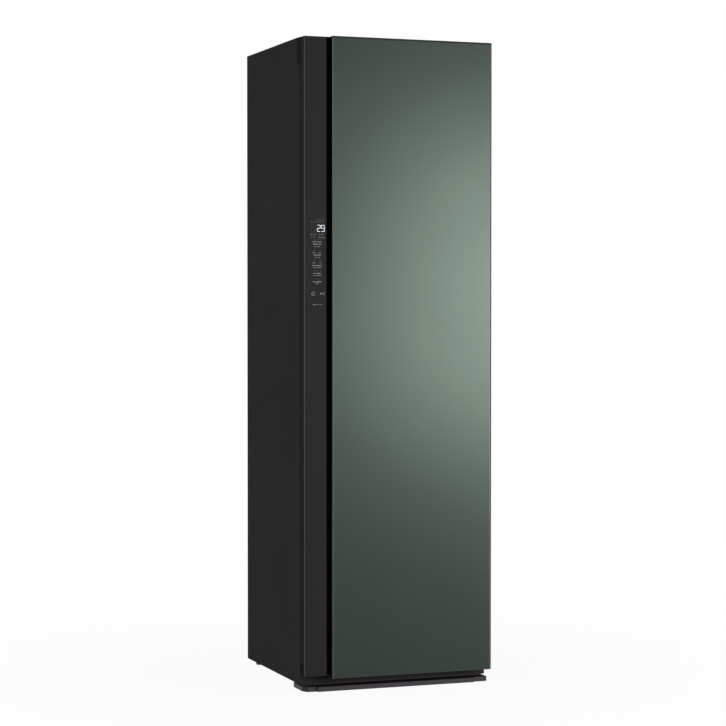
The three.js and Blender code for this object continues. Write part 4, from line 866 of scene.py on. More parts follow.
class SteamCabinetTopAndBack(Operator):
    """The pressed top panel, and the back panel with its beads, louvres, screws and gland"""
    bl_idname = "steam_cabinet.top_and_back"
    bl_label = "Top and back"

    def execute(self, context):
        body = context.scene.steam_cabinet_body
        self.top()
        self.back(body)
        self.gland()
        return {"FINISHED"}

    def top(self):
        low, high = box("top_panel")
        cap = box("corner_cap_left")
        notch_x, notch_y = cap[1][X] + 0.0003, cap[1][Y] + 0.0003
        field_low, field_high = (low[X] + 0.045, low[Y] + 0.05), (high[X] - 0.045, high[Y] - 0.045)
        u = grid_lines(low[X], high[X], [field_low[0] + 0.004, field_high[0] - 0.004, -0.12, 0, 0.12], 0.009)
        v = grid_lines(low[Y], high[Y], [field_low[1] + 0.004, field_high[1] - 0.004], 0.009)
        u = np.unique(np.concatenate([u, [notch_x, -notch_x]]))
        v = np.unique(np.concatenate([v, [notch_y]]))

        def relief(x, y):
            depth = shelf_step(inside(x, y, field_low, field_high, 0.03))
            beads = flutes(x, y, (-0.12, 0, 0.12), 0.012, field_low[1] + 0.05, field_high[1] - 0.05)
            return -0.0016 * depth + 0.0012 * beads

        grid_x, grid_y = np.broadcast_arrays(u[:, None], v[None])
        points = np.stack([grid_x, grid_y, high[Z] + relief(grid_x, grid_y)], -1)
        verts, faces = block_grid(points, False)
        middle = points[:-1, :-1] / 2 + points[1:, 1:] / 2
        kept = ((abs(middle[..., X]) < abs(notch_x)) | (middle[..., Y] > notch_y)).ravel()
        sheet = add_piece("top_panel_sheet", [(verts, [f for f, k in zip(faces, kept) if k])], "top_panel",
                          replaces=True)
        wall = sheet.modifiers.new("Sheet", "SOLIDIFY")
        wall.thickness = 0.001
        wall.offset = -1
        sheet.modifiers.move(1, 0)
        lips = [rounded_block((x, notch_y, low[Z]), (x + 0.001, high[Y], high[Z] - 0.0004), 0.0004)
                for x in (low[X], high[X] - 0.001)]
        add_piece("top_panel_lips", lips, "top_panel")

    def back(self, body):
        dressed("back_panel", body.skin_edge)
        low, high = box("back_panel")
        face = low[Y] + 0.001
        radius, height = body.bead_radius, body.bead_height
        root = face - 0.0003
        lines = [((x, root, 0.36), (x, root, 1.62)) for x in (-0.2, -0.1, 0, 0.1, 0.2)]
        lines.append(((-0.17, root, 1.88), (0.17, root, 1.88)))
        beads = [hump(start, end, radius, height, Y, 12, 8, 1.5) for start, end in lines]
        slits = [0.1185 + n * 0.018 for n in range(9)]
        hoods = [hump((0.068, root, z), (0.232, root, z), 0.0032, 0.003, Y, 10, 6, 0.6) for z in slits]
        edge = high[X] - 0.007
        heights = np.linspace(low[Z] + 0.04, high[Z] - 0.03, 7).tolist()
        rows = np.linspace(-0.2, 0.2, 3).tolist()
        screws = screw_heads([(x, face, z) for x in (-edge, edge) for z in heights]
                             + [(x, face, z) for x in rows for z in (low[Z] + 0.012, high[Z] - 0.01)],
                             Y, body.screw_radius, 0.0018)
        add_piece("back_panel_beads", beads + hoods, "back_panel")
        add_piece("back_panel_screws", screws, "back_panel")

    def gland(self):
        low, high = box("power_inlet")
        centre = (low + high) / 2
        rear, front = high[Y], low[Y] - high[Y]
        collar = [(0.0045, -0.0033), (0.0045, 0), (0.0065, 0), (0.0145, -0.0002), (0.0172, -0.0008),
                  (0.018, -0.0018), (0.018, -0.003), (0.0107, -0.003), (0.0107, front), (0.0045, front),
                  (0.0045, -0.0033)]
        verts, faces = turned(collar, (centre[X], rear, centre[Z]), Y, 48)
        shells = [(verts, faces[:-2])]
        angle = np.linspace(0, 2 * np.pi, 6, endpoint=False)
        nut = np.stack([np.cos(angle), np.sin(angle)], -1) * 0.018 + centre[[X, Z]]
        inner = rear - 0.0046
        shells.append(swept(filleted(nut, 0.0015, 3), Y, inner - 0.0028, inner))
        add_piece("gland_body", shells, "power_inlet", replaces=True, bevel=0.0003)


class SteamCabinetFeet(Operator):
    """The two levelling feet with their screw threads"""
    bl_idname = "steam_cabinet.feet"
    bl_label = "Levelling feet"

    def execute(self, context):
        body = context.scene.steam_cabinet_body
        for node in ("levelling_foot_left", "levelling_foot_right"):
            low, high = box(node)
            centre = (low + high) / 2 * [1, 1, 0]
            pad = [(0, 0), (0.0118, 0), (0.0127, 0.0004), (0.013, 0.0013), (0.013, 0.0037), (0.0127, 0.0046),
                   (0.0118, 0.005), (0.0068, 0.005), (0.0062, 0.0056), (0.004, 0.0058), (0, 0.0058)]
            shells = [turned(pad, centre, Z, 48), self.thread(centre, 0.0055, high[Z], body.thread_pitch)]
            add_piece(node + "_screw", shells, node, replaces=True)
        return {"FINISHED"}

    def thread(self, centre, bottom, top, pitch):
        """A screw thread: the radius swings by a triangle wave of the height in pitches less the turn."""
        angle = np.linspace(0, 2 * np.pi, 24, endpoint=False)[:, None]
        height = np.linspace(bottom, top, int((top - bottom) / pitch * 6))[None]
        wave = abs(((height / pitch - angle / (2 * np.pi)) % 1) * 2 - 1)
        radius = (0.0034 + 0.0006 * wave) * np.where(height > top - 0.0008, 0.9, 1.0)
        plane = np.stack([radius * np.cos(angle), radius * np.sin(angle)], -1)
        return capped_grid(to_space(plane, height, Z) + centre)


# ---------------------------------------------------------------- chamber


class SteamCabinetChamber(Operator):
    """The front frame, the moulded chamber walls, its ceiling with the lamp, its floor and the tank bay"""
    bl_idname = "steam_cabinet.chamber"
    bl_label = "Chamber"

    def execute(self, context):
        body = context.scene.steam_cabinet_body
        dressed("front_frame", body.skin_edge)
        for node in ("chamber_floor", "inner_ceiling"):
            dressed(node, body.skin_edge)
        dressed("tank_bay", body.moulded_edge)
        dressed("rail_carrier", body.moulded_edge)
        self.walls()
        self.lamp()
        for node in ("hinge_bracket_top", "hinge_bracket_bottom"):
            dressed(node, 0.0005)
        return {"FINISHED"}

    def walls(self):
        """Each wall is a sheet with a sunk field, and upright flutes in the field."""
        for node, axis, side in (("inner_panel_left", X, -1), ("inner_panel_right", X, 1),
                                 ("inner_panel_back", Y, 1)):
            low, high = box(node)
            across = Y if axis == X else X
            start, end = low[across], high[across]
            field_low, field_high = (start + 0.03, low[Z] + 0.05), (end - 0.03, high[Z] - 0.05)
            middles = np.linspace(field_low[0] + 0.05, field_high[0] - 0.05, 5).tolist()
            u = grid_lines(start, end, [field_low[0] + 0.004, field_high[0] - 0.004, *middles], 0.014)
            v = grid_lines(low[Z], high[Z], [field_low[1] + 0.004, field_high[1] - 0.004, field_low[1] + 0.07,
                                             field_high[1] - 0.07], 0.016, 0.05)

            def relief(across, z):
                field = shelf_step(inside(across, z, field_low, field_high, 0.025))
                lines = flutes(across, z, middles, 0.01, field_low[1] + 0.06, field_high[1] - 0.06)
                return side * (0.0012 * field + 0.0016 * lines)

            level = (low if side > 0 else high)[axis]
            add_piece(node + "_moulding", [pressed_sheet(u, v, level, axis, relief, side * 0.002)], node,
                      replaces=True)

    def lamp(self):
        low, _ = box("inner_ceiling")
        y, z = low[Y] + 0.026, low[Z] + 0.0004
        for name, half, radius, drop, power, material in (("lens", 0.11, 0.009, 0.0045, 0.5, "lamp_white"),
                                                          ("bezel", 0.111, 0.0125, 0.0022, 0.3, None)):
            shell = hump((-half, y, z), (half, y, z), radius, -drop, Z, 12, 8, power)
            add_piece("chamber_lamp_" + name, [shell], "inner_ceiling", material=material)


class SteamCabinetRail(Operator):
    """The moving hanger rail with its crank and motor, and the two coat hangers"""
    bl_idname = "steam_cabinet.rail"
    bl_label = "Rail and hangers"

    def execute(self, context):
        low, high = box("hanger_rail")
        radius, lug_at = 0.008, 0.12
        centre_z, end = low[Z] + radius, high[X] - 0.0004
        profile = mirrored([(0, end), (0.0066, end), (0.0076, end - 0.0004), (radius, end - 0.0014),
                            (radius, 0.207), (0.0077, 0.2066)])
        shells = [turned(profile, (0, 0, centre_z), X, 48)]
        plate_low, plate_high = high[Z] - 0.006, high[Z]
        half, reach, yoke, yoke_y = 0.170, high[Y], 0.0038, 0.022
        for x0, x1 in ((-half, -yoke), (yoke, half)):
            shells.append(rounded_block((x0, -reach, plate_low), (x1, reach, plate_high), 0.001, 3))
        bridge = yoke + 0.002
        for y0, y1 in ((-reach, -yoke_y), (yoke_y, reach)):
            shells.append(rounded_block((-bridge, y0, plate_low), (bridge, y1, plate_high), 0.001, 3))
        clamp = mirrored([(0, 0.0085), (0.0086, 0.0085), (0.0092, 0.0079)])
        for x in (-lug_at, lug_at):
            shells.append(upright_block(x, 0, 0.005, 0.005, centre_z + 0.004, plate_high - 0.001, 0.0016))
            shells.append(turned(clamp, (x, 0, centre_z), X, 40))
        add_piece("hanger_rail_bar", shells, "hanger_rail", replaces=True)
        self.crank()
        self.motor()
        for node in ("coat_hanger_left", "coat_hanger_right"):
            self.hanger(node)
        return {"FINISHED"}

    def crank(self):
        low, high = box("crank_disc")
        bottom = low[Z] + 0.0025
        tip = high[Z] - bottom
        disc = [(0, 0), (0.0228, 0), (0.024, 0.0008), (0.024, 0.0042), (0.0228, 0.005), (0.011, 0.005),
                (0.0098, 0.0042), (0.008, 0.0042), (0.0062, 0.005), (0.006, 0.0055), (0.006, tip), (0, tip)]
        pin = [(0, 0), (0.003, 0), (0.0035, 0.0004), (0.0035, 0.0045), (0, 0.0045)]
        shells = [turned(disc, (0, 0, bottom), Z, 48), turned(pin, (0, 0.012, low[Z]), Z, 24)]
        add_piece("crank_disc_turned", shells, "crank_disc", replaces=True)

    def motor(self):
        low, high = box("rail_motor")
        shells = [rounded_block(low + [0.004, 0.004, 0], high - [0.004, 0.004, 0.006], 0.003, 4),
                  rounded_block(low, (high[X], high[Y], low[Z] + 0.006), 0.002, 4)]
        shells.append(turned([(0, -0.007), (0.024, -0.007), (0.024, -0.001), (0.023, 0), (0, 0)],
                             (0, 0, high[Z]), Z, 48))
        shells += screw_heads([(x, y, low[Z] + 0.006) for x in (low[X] + 0.003, high[X] - 0.003)
                               for y in (low[Y] + 0.008, high[Y] - 0.008)], Z, 0.0022, 0.0012)
        add_piece("rail_motor_case", shells, "rail_motor", replaces=True)

    def hanger(self, node):
        """A coat hanger. Along each arm the top and bottom edges are curves that bend once, and the section
        between them is a rounded oval whose width narrows to the tip."""
        low, high = box(node)
        x = (low[X] + high[X]) / 2
        rail_z = box("hanger_rail")[0][Z] + 0.008
        span, boss, top = high[Y], 0.007, rail_z - 0.054
        part = np.concatenate([-np.cos(np.linspace(0, np.pi / 2, 30)), [0]])
        part = np.unique(np.round(np.concatenate([part, -part]), 9))
        y = np.clip(part * span, -span + 1e-5, span - 1e-5)
        reach = np.maximum(abs(y) - boss, 0)
        t = (-(span - 2 * boss) + np.sqrt((span - 2 * boss) ** 2 + 4 * boss * reach)) / (2 * boss)
        upper = top - 2 * t * (1 - t) * 0.022 - t * t * 0.066
        t = abs(y) / span
        lower = (1 - t) ** 2 * (top - 0.024) + 2 * t * (1 - t) * (top - 0.046) + t * t * (top - 0.08)
        tip = np.sqrt(1 - np.clip((abs(y) - span + 0.007) / 0.007, 0, 0.9999) ** 2)
        angle = np.linspace(0, 2 * np.pi, 32, endpoint=False)[:, None]
        power = 0.72
        wide = np.sign(np.cos(angle)) * abs(np.cos(angle)) ** power
        tall = np.sign(np.sin(angle)) * abs(np.sin(angle)) ** power
        half_width = 0.006 * (1 - 0.3 * t ** 2) * tip
        half_height = (upper - lower) / 2 * (0.35 + 0.65 * tip)
        points = np.stack(np.broadcast_arrays(
            x + wide * half_width, y[None], (upper + lower) / 2 + tall * half_height), -1)
        shells = [capped_grid(points)]
        for at in (-0.8 * span, 0.8 * span):
            level = np.interp(at, y, upper)
            shells.append(upright_block(x, at, 0.0035, 0.004, level - 0.006, level + 0.0012, 0.0015, 3))
        stem = [(0, -0.004), (0.0056, -0.004), (0.0056, -0.0012), (0.0048, -0.0002), (0, -0.0002)]
        shells.append(turned(stem, (x, 0, top), Z, 32))
        add_piece(node + "_arms", shells, node, replaces=True)
        bend = 0.0109
        turn = np.pi * np.linspace(-0.12, 1, 22)
        arc = np.stack([np.full(22, x), bend * np.cos(turn), rail_z + bend * np.sin(turn)], -1)
        neck = spline([arc[-2], arc[-1], (x, -bend, rail_z - bend / 2), (x, -bend / 2, rail_z - 2 * bend),
                       (x, 0, rail_z - 3 * bend), (x, 0, rail_z - 0.062)], 6)[6:]
        path = np.vstack([arc, neck[1:]])
        ball = mirrored([(0, 0.0031), (0.0016, 0.0027), (0.0028, 0.0014), (0.0031, 0)])
        hook = [tube(path, 0.0024, 16), turned(ball, arc[0], Z, 20)]
        add_piece(node + "_hook", hook, node, slot="rail_chrome")


class SteamCabinetLoosePieces(Operator):
    """The shelf, the lint filter and the two water tanks"""
    bl_idname = "steam_cabinet.loose"
    bl_label = "Shelf, filter and tanks"

    def execute(self, context):
        dressed("shelf", 0.0016, 3)
        dressed("lint_filter", 0.0006)
        self.filter_net()
        for node in ("supply_tank", "drain_tank"):
            self.tank(node)
        return {"FINISHED"}

    def filter_net(self):
        """Fine crossed threads stretched over the cassette under its bridge."""
        low, high = box("lint_filter")
        z = low[Z] + 0.0032
        x0, x1, y0, y1 = low[X] + 0.0085, high[X] - 0.0085, low[Y] + 0.0085, high[Y] - 0.0085
        threads = [rounded_block((x, y0, z - 0.0003), (x + 0.0005, y1, z), 0.0001, 1)
                   for x in np.linspace(x0, x1, 72).tolist()]
        threads += [rounded_block((x0, y, z), (x1, y + 0.0005, z + 0.0003), 0.0001, 1)
                    for y in np.linspace(y0, y1, 22).tolist()]
        add_piece("lint_filter_net", threads, "lint_filter")

    def tank(self, node):
        low, high = box(node)
        rib, top = low[Y], high[Z]
        front, corner = rib + 0.007, 0.007
        body = rounded_block((low[X], front, low[Z]), high, corner, 6)
        middle = (low[X] + high[X]) / 2
        handle = rounded_block((middle - 0.007, rib, top - 0.12), (middle + 0.007, front + 0.004, top - 0.03),
                               0.0032, 5)
        add_piece(node + "_shell", [body, handle], node, replaces=True)
        band = [(-0.004, top - 0.0125), (0.0, top - 0.0125), (0.0, top - 0.0095), (-0.004, top - 0.0095)]
        seam = ring_swept(band, (low[X], front), (high[X], high[Y]), Z, corner)
        add_piece(node + "_seam", [seam], node, slot="black_plastic", material="filter_plastic")
        cap_x = high[X] - 0.06 if middle > 0 else low[X] + 0.06
        cap_y = (front + high[Y]) / 2
        cap = [(0, -0.006), (0.0235, -0.006), (0.0235, -0.0008), (0.0227, 0), (0.0195, 0), (0.0188, -0.0012),
               (0, -0.0012)]
        shells = [turned(cap, (cap_x, cap_y, top), Z, 48),
                  upright_block(cap_x, cap_y, 0.0165, 0.0025, top - 0.003, top, 0.0012, 3)]
        add_piece(node + "_cap", shells, node, slot="black_plastic", material="filter_plastic")
        x0, y0, y1 = middle + 0.045, front - 0.0003, front + 0.0006
        marks = [rounded_block((x0, y0, z), (x0 + width, y1, z + 0.0012), 0.0002, 2)
                 for z, width in ((top - 0.05, 0.022), (top - 0.12, 0.014), (low[Z] + 0.04, 0.022))]
        add_piece(node + "_level_marks", marks, node, material="print_bright")


# ---------------------------------------------------------------- inside of the door


class SteamCabinetDoorInside(Operator):
    """The door's liner with its raised border, the bellows gasket and the padded trouser press"""
    bl_idname = "steam_cabinet.door_inside"
    bl_label = "Inside of the door"

    def execute(self, context):
        door = context.scene.steam_cabinet_door
        self.liner(door)
        self.gasket(door)
        self.press()
        return {"FINISHED"}

    def liner(self, door):
        low, high = box("door_liner")
        ring = box("door_gasket")
        inner_x = ring[1][X] - 0.026
        low_z, high_z = ring[0][Z] + 0.026, ring[1][Z] - 0.026
        bends = (0.005, 0.02)
        u_marks = [side * (inner_x - bend) for side in (-1, 1) for bend in bends]
        v_marks = [z for bend in bends for z in (low_z + bend, high_z - bend)]
        u = grid_lines(low[X], high[X], u_marks, 0.008)
        v = grid_lines(low[Z], high[Z], v_marks, 0.008, 0.06)

        def relief(x, z):
            away = inside(x, z, (-inner_x, low_z), (inner_x, high_z), 0.02)
            return door.liner_depth * (shelf_step(away, 0.007) - shelf_step(away - 0.016, 0.007))

        add_piece("door_liner_moulding", [pressed_sheet(u, v, high[Y], Y, relief, -0.002)], "door_liner",
                  replaces=True)

    def gasket(self, door):
        """A foot, a thin bellows and a wide magnet bulb. The profile's left half mirrors its right one."""
        low, high = box("door_gasket")
        width = 0.014
        near, far, bulb = low[Y], high[Y], door.gasket_lip
        waist = near + 0.0012
        half = [(0.0105, near), (0.0112, near + 0.0004), (0.0105, waist), (0.0088, waist + 0.0003),
                (0.0088, far - bulb + 0.0001), (0.0128, far - bulb), (0.0138, far - bulb * 0.7),
                (width, far - bulb / 2), (0.0138, far - bulb * 0.25), (0.0128, far)]
        profile = half + [(width - out, along) for out, along in half[::-1]]
        inner_low, inner_high = low + width, high - width
        bellows = ring_swept(profile, inner_low[[X, Z]], inner_high[[X, Z]], Y, 0.003)
        add_piece("door_gasket_bellows", [bellows], "door_gasket", replaces=True)

    def press(self):
        low, high = box("press_base")
        plate_low, plate_high = box("press_plate")
        left, bottom, top = low[X], low[Z], high[Z]
        edge = plate_high[X] - 0.013
        near, pad_back, pad_front = low[Y], low[Y] + 0.007, plate_low[Y] - 0.0003
        tray = [rounded_block((left, near, bottom), (edge, pad_back + 0.001, top), 0.002, 4)]
        tray += [rounded_block((edge - 0.015, near, z), (high[X], high[Y], z + 0.015), 0.002, 4)
                 for z in (bottom, top - 0.015)]
        hinge = (high[X] - 0.006, (plate_low[Y] + plate_high[Y]) / 2)
        pin = mirrored([(0, 0.0065), (0.0028, 0.0065), (0.003, 0.0062)])
        tray += [turned(pin, (*hinge, z), Z, 24) for z in (bottom + 0.0165, top - 0.0165)]
        add_piece("press_base_tray", tray, "press_base", slot="black_plastic", material="hanger_plastic",
                  replaces=True)
        pad_low, pad_high, corner = (left + 0.004, bottom + 0.018), (edge - 0.017, top - 0.018), 0.0048
        pad = rounded_block((pad_low[0], pad_back, pad_low[1]), (pad_high[0], pad_front, pad_high[1]),
                            corner, 6)
        seam = [(-0.0018, pad_back + 0.0004), (0.0006, pad_back + 0.0004), (0.0016, pad_back + 0.0014),
                (0.0016, pad_back + 0.0026), (0.0006, pad_back + 0.0036), (-0.0018, pad_back + 0.0036)]
        piping = ring_swept(seam, pad_low, pad_high, Y, corner)
        cushion = add_piece("press_base_pad", [pad, piping], "press_base")
        dressed("press_plate", 0.0014, 3)
        x0, level = plate_low[X] + 0.012, plate_high[Y]
        middle = (plate_low[Z] + plate_high[Z]) / 2
        lip = rounded_block((x0, level - 0.0015, middle - 0.06), (x0 + 0.012, level + 0.003, middle + 0.06),
                            0.0021, 5)
        add_piece("press_plate_pull", [lip], "press_plate")


# ---------------------------------------------------------------- machine room


class SteamCabinetMachineRoom(Operator):
    """The tray and what stands on it: compressor, duct, exchanger, blower, generator, pumps and controls"""
    bl_idname = "steam_cabinet.machine_room"
    bl_label = "Machine room"

    def execute(self, context):
        body = context.scene.steam_cabinet_body
        dressed("base_tray", body.skin_edge)
        dressed("air_duct", body.moulded_edge)
        dressed("blower_housing", 0.0008, smooth=45)
        dressed("blower_wheel", 0.0003, smooth=45)
        self.compressor()
        self.exchanger()
        self.blower_motor()
        self.generator()
        for node in ("supply_pump", "drain_pump"):
            self.pump(node)
        self.controls()
        self.pipes()
        return {"FINISHED"}

    def compressor(self):
        """A domed shell with a weld bead round it, a terminal box, and a plate on four rubber bushes."""
        low, high = box("compressor")
        plate = low[Z] + 0.015
        centre = np.array([(low[X] + high[X]) / 2, (low[Y] + high[Y]) / 2, plate])
        top = high[Z] - plate
        bead = 0.062
        wall = bead - 0.001
        profile = [(0, 0.001), (0.05, 0.001), (0.058, 0.004), (wall, 0.012), (wall, 0.085), (bead, 0.086),
                   (bead, 0.094), (wall, 0.095), (wall, top - 0.03), (0.0598, top - 0.021),
                   (0.055, top - 0.013), (0.047, top - 0.006), (0.036, top - 0.0018), (0.02, top - 0.0003),
                   (0, top)]
        shells = [turned(profile, centre, Z, 64),
                  rounded_block((low[X], low[Y], plate), (high[X], high[Y], plate + 0.003), 0.0012, 3),
                  rounded_block(centre + [-0.0615, -0.018, 0.11], centre + [-0.05, 0.018, 0.15], 0.003, 4)]
        add_piece("compressor_shell", shells, "compressor", replaces=True)
        bush = [(0, 0), (0.0098, 0), (0.011, 0.001), (0.011, 0.005), (0.0085, 0.0065), (0.0085, 0.0085),
                (0.011, 0.01), (0.011, 0.0147), (0, 0.0147)]
        bushes = [turned(bush, (x, y, low[Z]), Z, 32) for x in (low[X] + 0.011, high[X] - 0.011)
                  for y in (low[Y] + 0.011, high[Y] - 0.011)]
        add_piece("compressor_bushes", bushes, "compressor", slot="foot_rubber")

    def exchanger(self):
        low, high = box("heat_exchanger")
        places = np.linspace(low[Y] + 0.012, high[Y] - 0.012, 62)
        slabs = [(y - 0.0002, y + 0.0002, 0.0001, 1) for y in places]
        slabs += [(y, y + 0.0015, 0.0005, 2) for y in (low[Y] + 0.008, high[Y] - 0.0095)]
        fins = [rounded_block((low[X], y0, low[Z]), (high[X], y1, high[Z]), radius, steps)
                for y0, y1, radius, steps in slabs]
        add_piece("exchanger_fins", fins, "heat_exchanger", replaces=True)
        tubes = []
        rows = np.linspace(low[Z] + 0.015, high[Z] - 0.015, 6)
        half = np.linspace(-np.pi / 2, np.pi / 2, 9)
        for x in (low[X] + 0.03, high[X] - 0.03):
            for lower, upper in zip(rows[::2].tolist(), rows[1::2].tolist()):
                for end, way in ((low[Y] + 0.0095, -1), (high[Y] - 0.0095, 1)):
                    bend = np.stack([np.full(9, x), end + way * (0.0005 + 0.0058 * np.cos(half)),
                                     (lower + upper) / 2 + (upper - lower) / 2 * np.sin(half)], -1)
                    tubes.append(tube(bend, 0.003, 12))
        add_piece("exchanger_bends", tubes, "heat_exchanger", slot="copper")

    def blower_motor(self):
        low, high = box("blower_motor")
        centre = (low + high) / 2
        top = high[Z] - low[Z]
        profile = [(0, 0), (0.037, 0), (0.0395, 0.0015), (0.04, 0.004), (0.04, 0.014), (0.0385, 0.0146),
                   (0.0385, 0.0176), (0.04, 0.0182), (0.04, 0.032), (0.0392, 0.0347), (0.037, 0.036),
                   (0.015, 0.036), (0.0142, 0.038), (0.005, 0.0382), (0.005, top - 0.0006),
                   (0.0044, top), (0, top)]
        can = turned(profile, (centre[X], centre[Y], low[Z]), Z, 56)
        add_piece("blower_motor_can", [can], "blower_motor", replaces=True)

    def generator(self):
        low, high = box("steam_generator")
        bottom, top = high[Z] - 0.09, high[Z]
        flange, half = (bottom + top) / 2, 0.004
        inset = np.array([half, half, 0])
        shells = [rounded_block((*(low + inset)[:2], bottom), high - inset, 0.008, 6),
                  rounded_block((*low[:2], flange - half), (*high[:2], flange + half), 0.002, 4)]
        shells += [upright_block(x, y, 0.006, 0.006, low[Z], flange, 0.002, 3)
                   for x in (low[X] + 0.006, high[X] - 0.006) for y in (low[Y] + 0.006, high[Y] - 0.006)]
        spots = [(x, y, flange + half) for x in np.linspace(low[X] + 0.012, high[X] - 0.012, 4)
                 for y in (low[Y] + 0.0045, high[Y] - 0.0045)]
        shells += screw_heads(spots, Z, 0.003, 0.0022)
        middle = (low + high) / 2
        x0, x1 = low[X] + 0.02, middle[X] - 0.014
        shells += [rounded_block((x0, y - 0.003, top - 0.003), (x1, y + 0.003, top - 0.0002), 0.0012, 3)
                   for y in (middle[Y] - 0.02, middle[Y], middle[Y] + 0.02)]
        add_piece("generator_casting", shells, "steam_generator", replaces=True)

    def pump(self, node):
        low, high = box(node)
        x, z = (low[X] + high[X]) / 2, high[Z] - 0.022
        end, middle, foot = high[Y] - low[Y], (low[Y] + high[Y]) / 2, low[Z]
        profile = [(0, 0), (0.012, 0), (0.0128, 0.0006), (0.0128, 0.006), (0.02, 0.0075), (0.022, 0.0095),
                   (0.022, 0.03), (0.0205, 0.0315), (0.0205, 0.0345), (0.0218, 0.036), (0.0218, end - 0.008),
                   (0.019, end - 0.003), (0.012, end - 0.001), (0, end)]
        shells = [turned(profile, (x, low[Y], z), Y, 48),
                  upright_block(x, middle, 0.015, 0.03, foot, foot + 0.006, 0.002)]
        shells += [upright_block(x, y, 0.0135, 0.004, foot + 0.003, z, 0.002)
                   for y in (middle - 0.02, middle + 0.02)]
        add_piece(node + "_barrel", shells, node, replaces=True)

    def controls(self):
        low, high = box("control_board_case")
        split, inset = high[X] - 0.0145, 0.002
        shells = [rounded_block(low, (high[X] - 0.014, high[Y], high[Z]), 0.002, 4),
                  rounded_block((split, low[Y] + inset, low[Z] + inset), high - [0, inset, inset], 0.003, 5)]
        x0, y0, y1 = high[X] - 0.0006, low[Y] + 0.05, high[Y] - 0.05
        shells += [rounded_block((x0, y0, z), (high[X], y1, z + 0.003), 0.0002, 2)
                   for z in np.linspace(low[Z] + 0.06, high[Z] - 0.07, 8)]
        add_piece("control_board_cover", shells, "control_board_case", replaces=True)

    def pipes(self):
        low, high = box("refrigerant_pipe")
        compressor = box("compressor")
        start = (compressor[0] + compressor[1])[:2] / 2
        port = np.array([start[0] - 0.025, start[1] - 0.08])
        bottom, top = low[Z], high[Z]
        level = (bottom + top) / 2
        path = spline([(*start, bottom), (*start, bottom + 0.007), (start[0], start[1] - 0.018, level),
                       (port[0], port[1] + 0.018, level), (*port, top - 0.014), (*port, top)], 10)
        add_piece("refrigerant_pipe_bent", [tube(path, 0.005, 20)], "refrigerant_pipe",
                  replaces=True)
        low, high = box("steam_hose")
        generator = box("steam_generator")
        source = (generator[0] + generator[1])[:2] / 2
        out = np.array([-0.14, 0.222])
        bend = (out[0], (source[1] + out[1]) / 2)
        bottom, top = low[Z], high[Z]
        rise = top - bottom
        path = spline([(*source, bottom), (*source, bottom + rise / 6), (*bend, bottom + rise / 3),
                       (*out, bottom + rise / 2), (*out, bottom + 3 * rise / 4), (*out, top)], 60)
        walked = np.concatenate([[0], np.cumsum(np.linalg.norm(np.diff(path, axis=0), axis=1))])
        radius = 0.0064 + 0.0006 * np.cos(walked / 0.0045 * 2 * np.pi)
        add_piece("steam_hose_ribbed", [tube(path, radius, 20)], "steam_hose", replaces=True, smooth=60)


# ---------------------------------------------------------------- stage


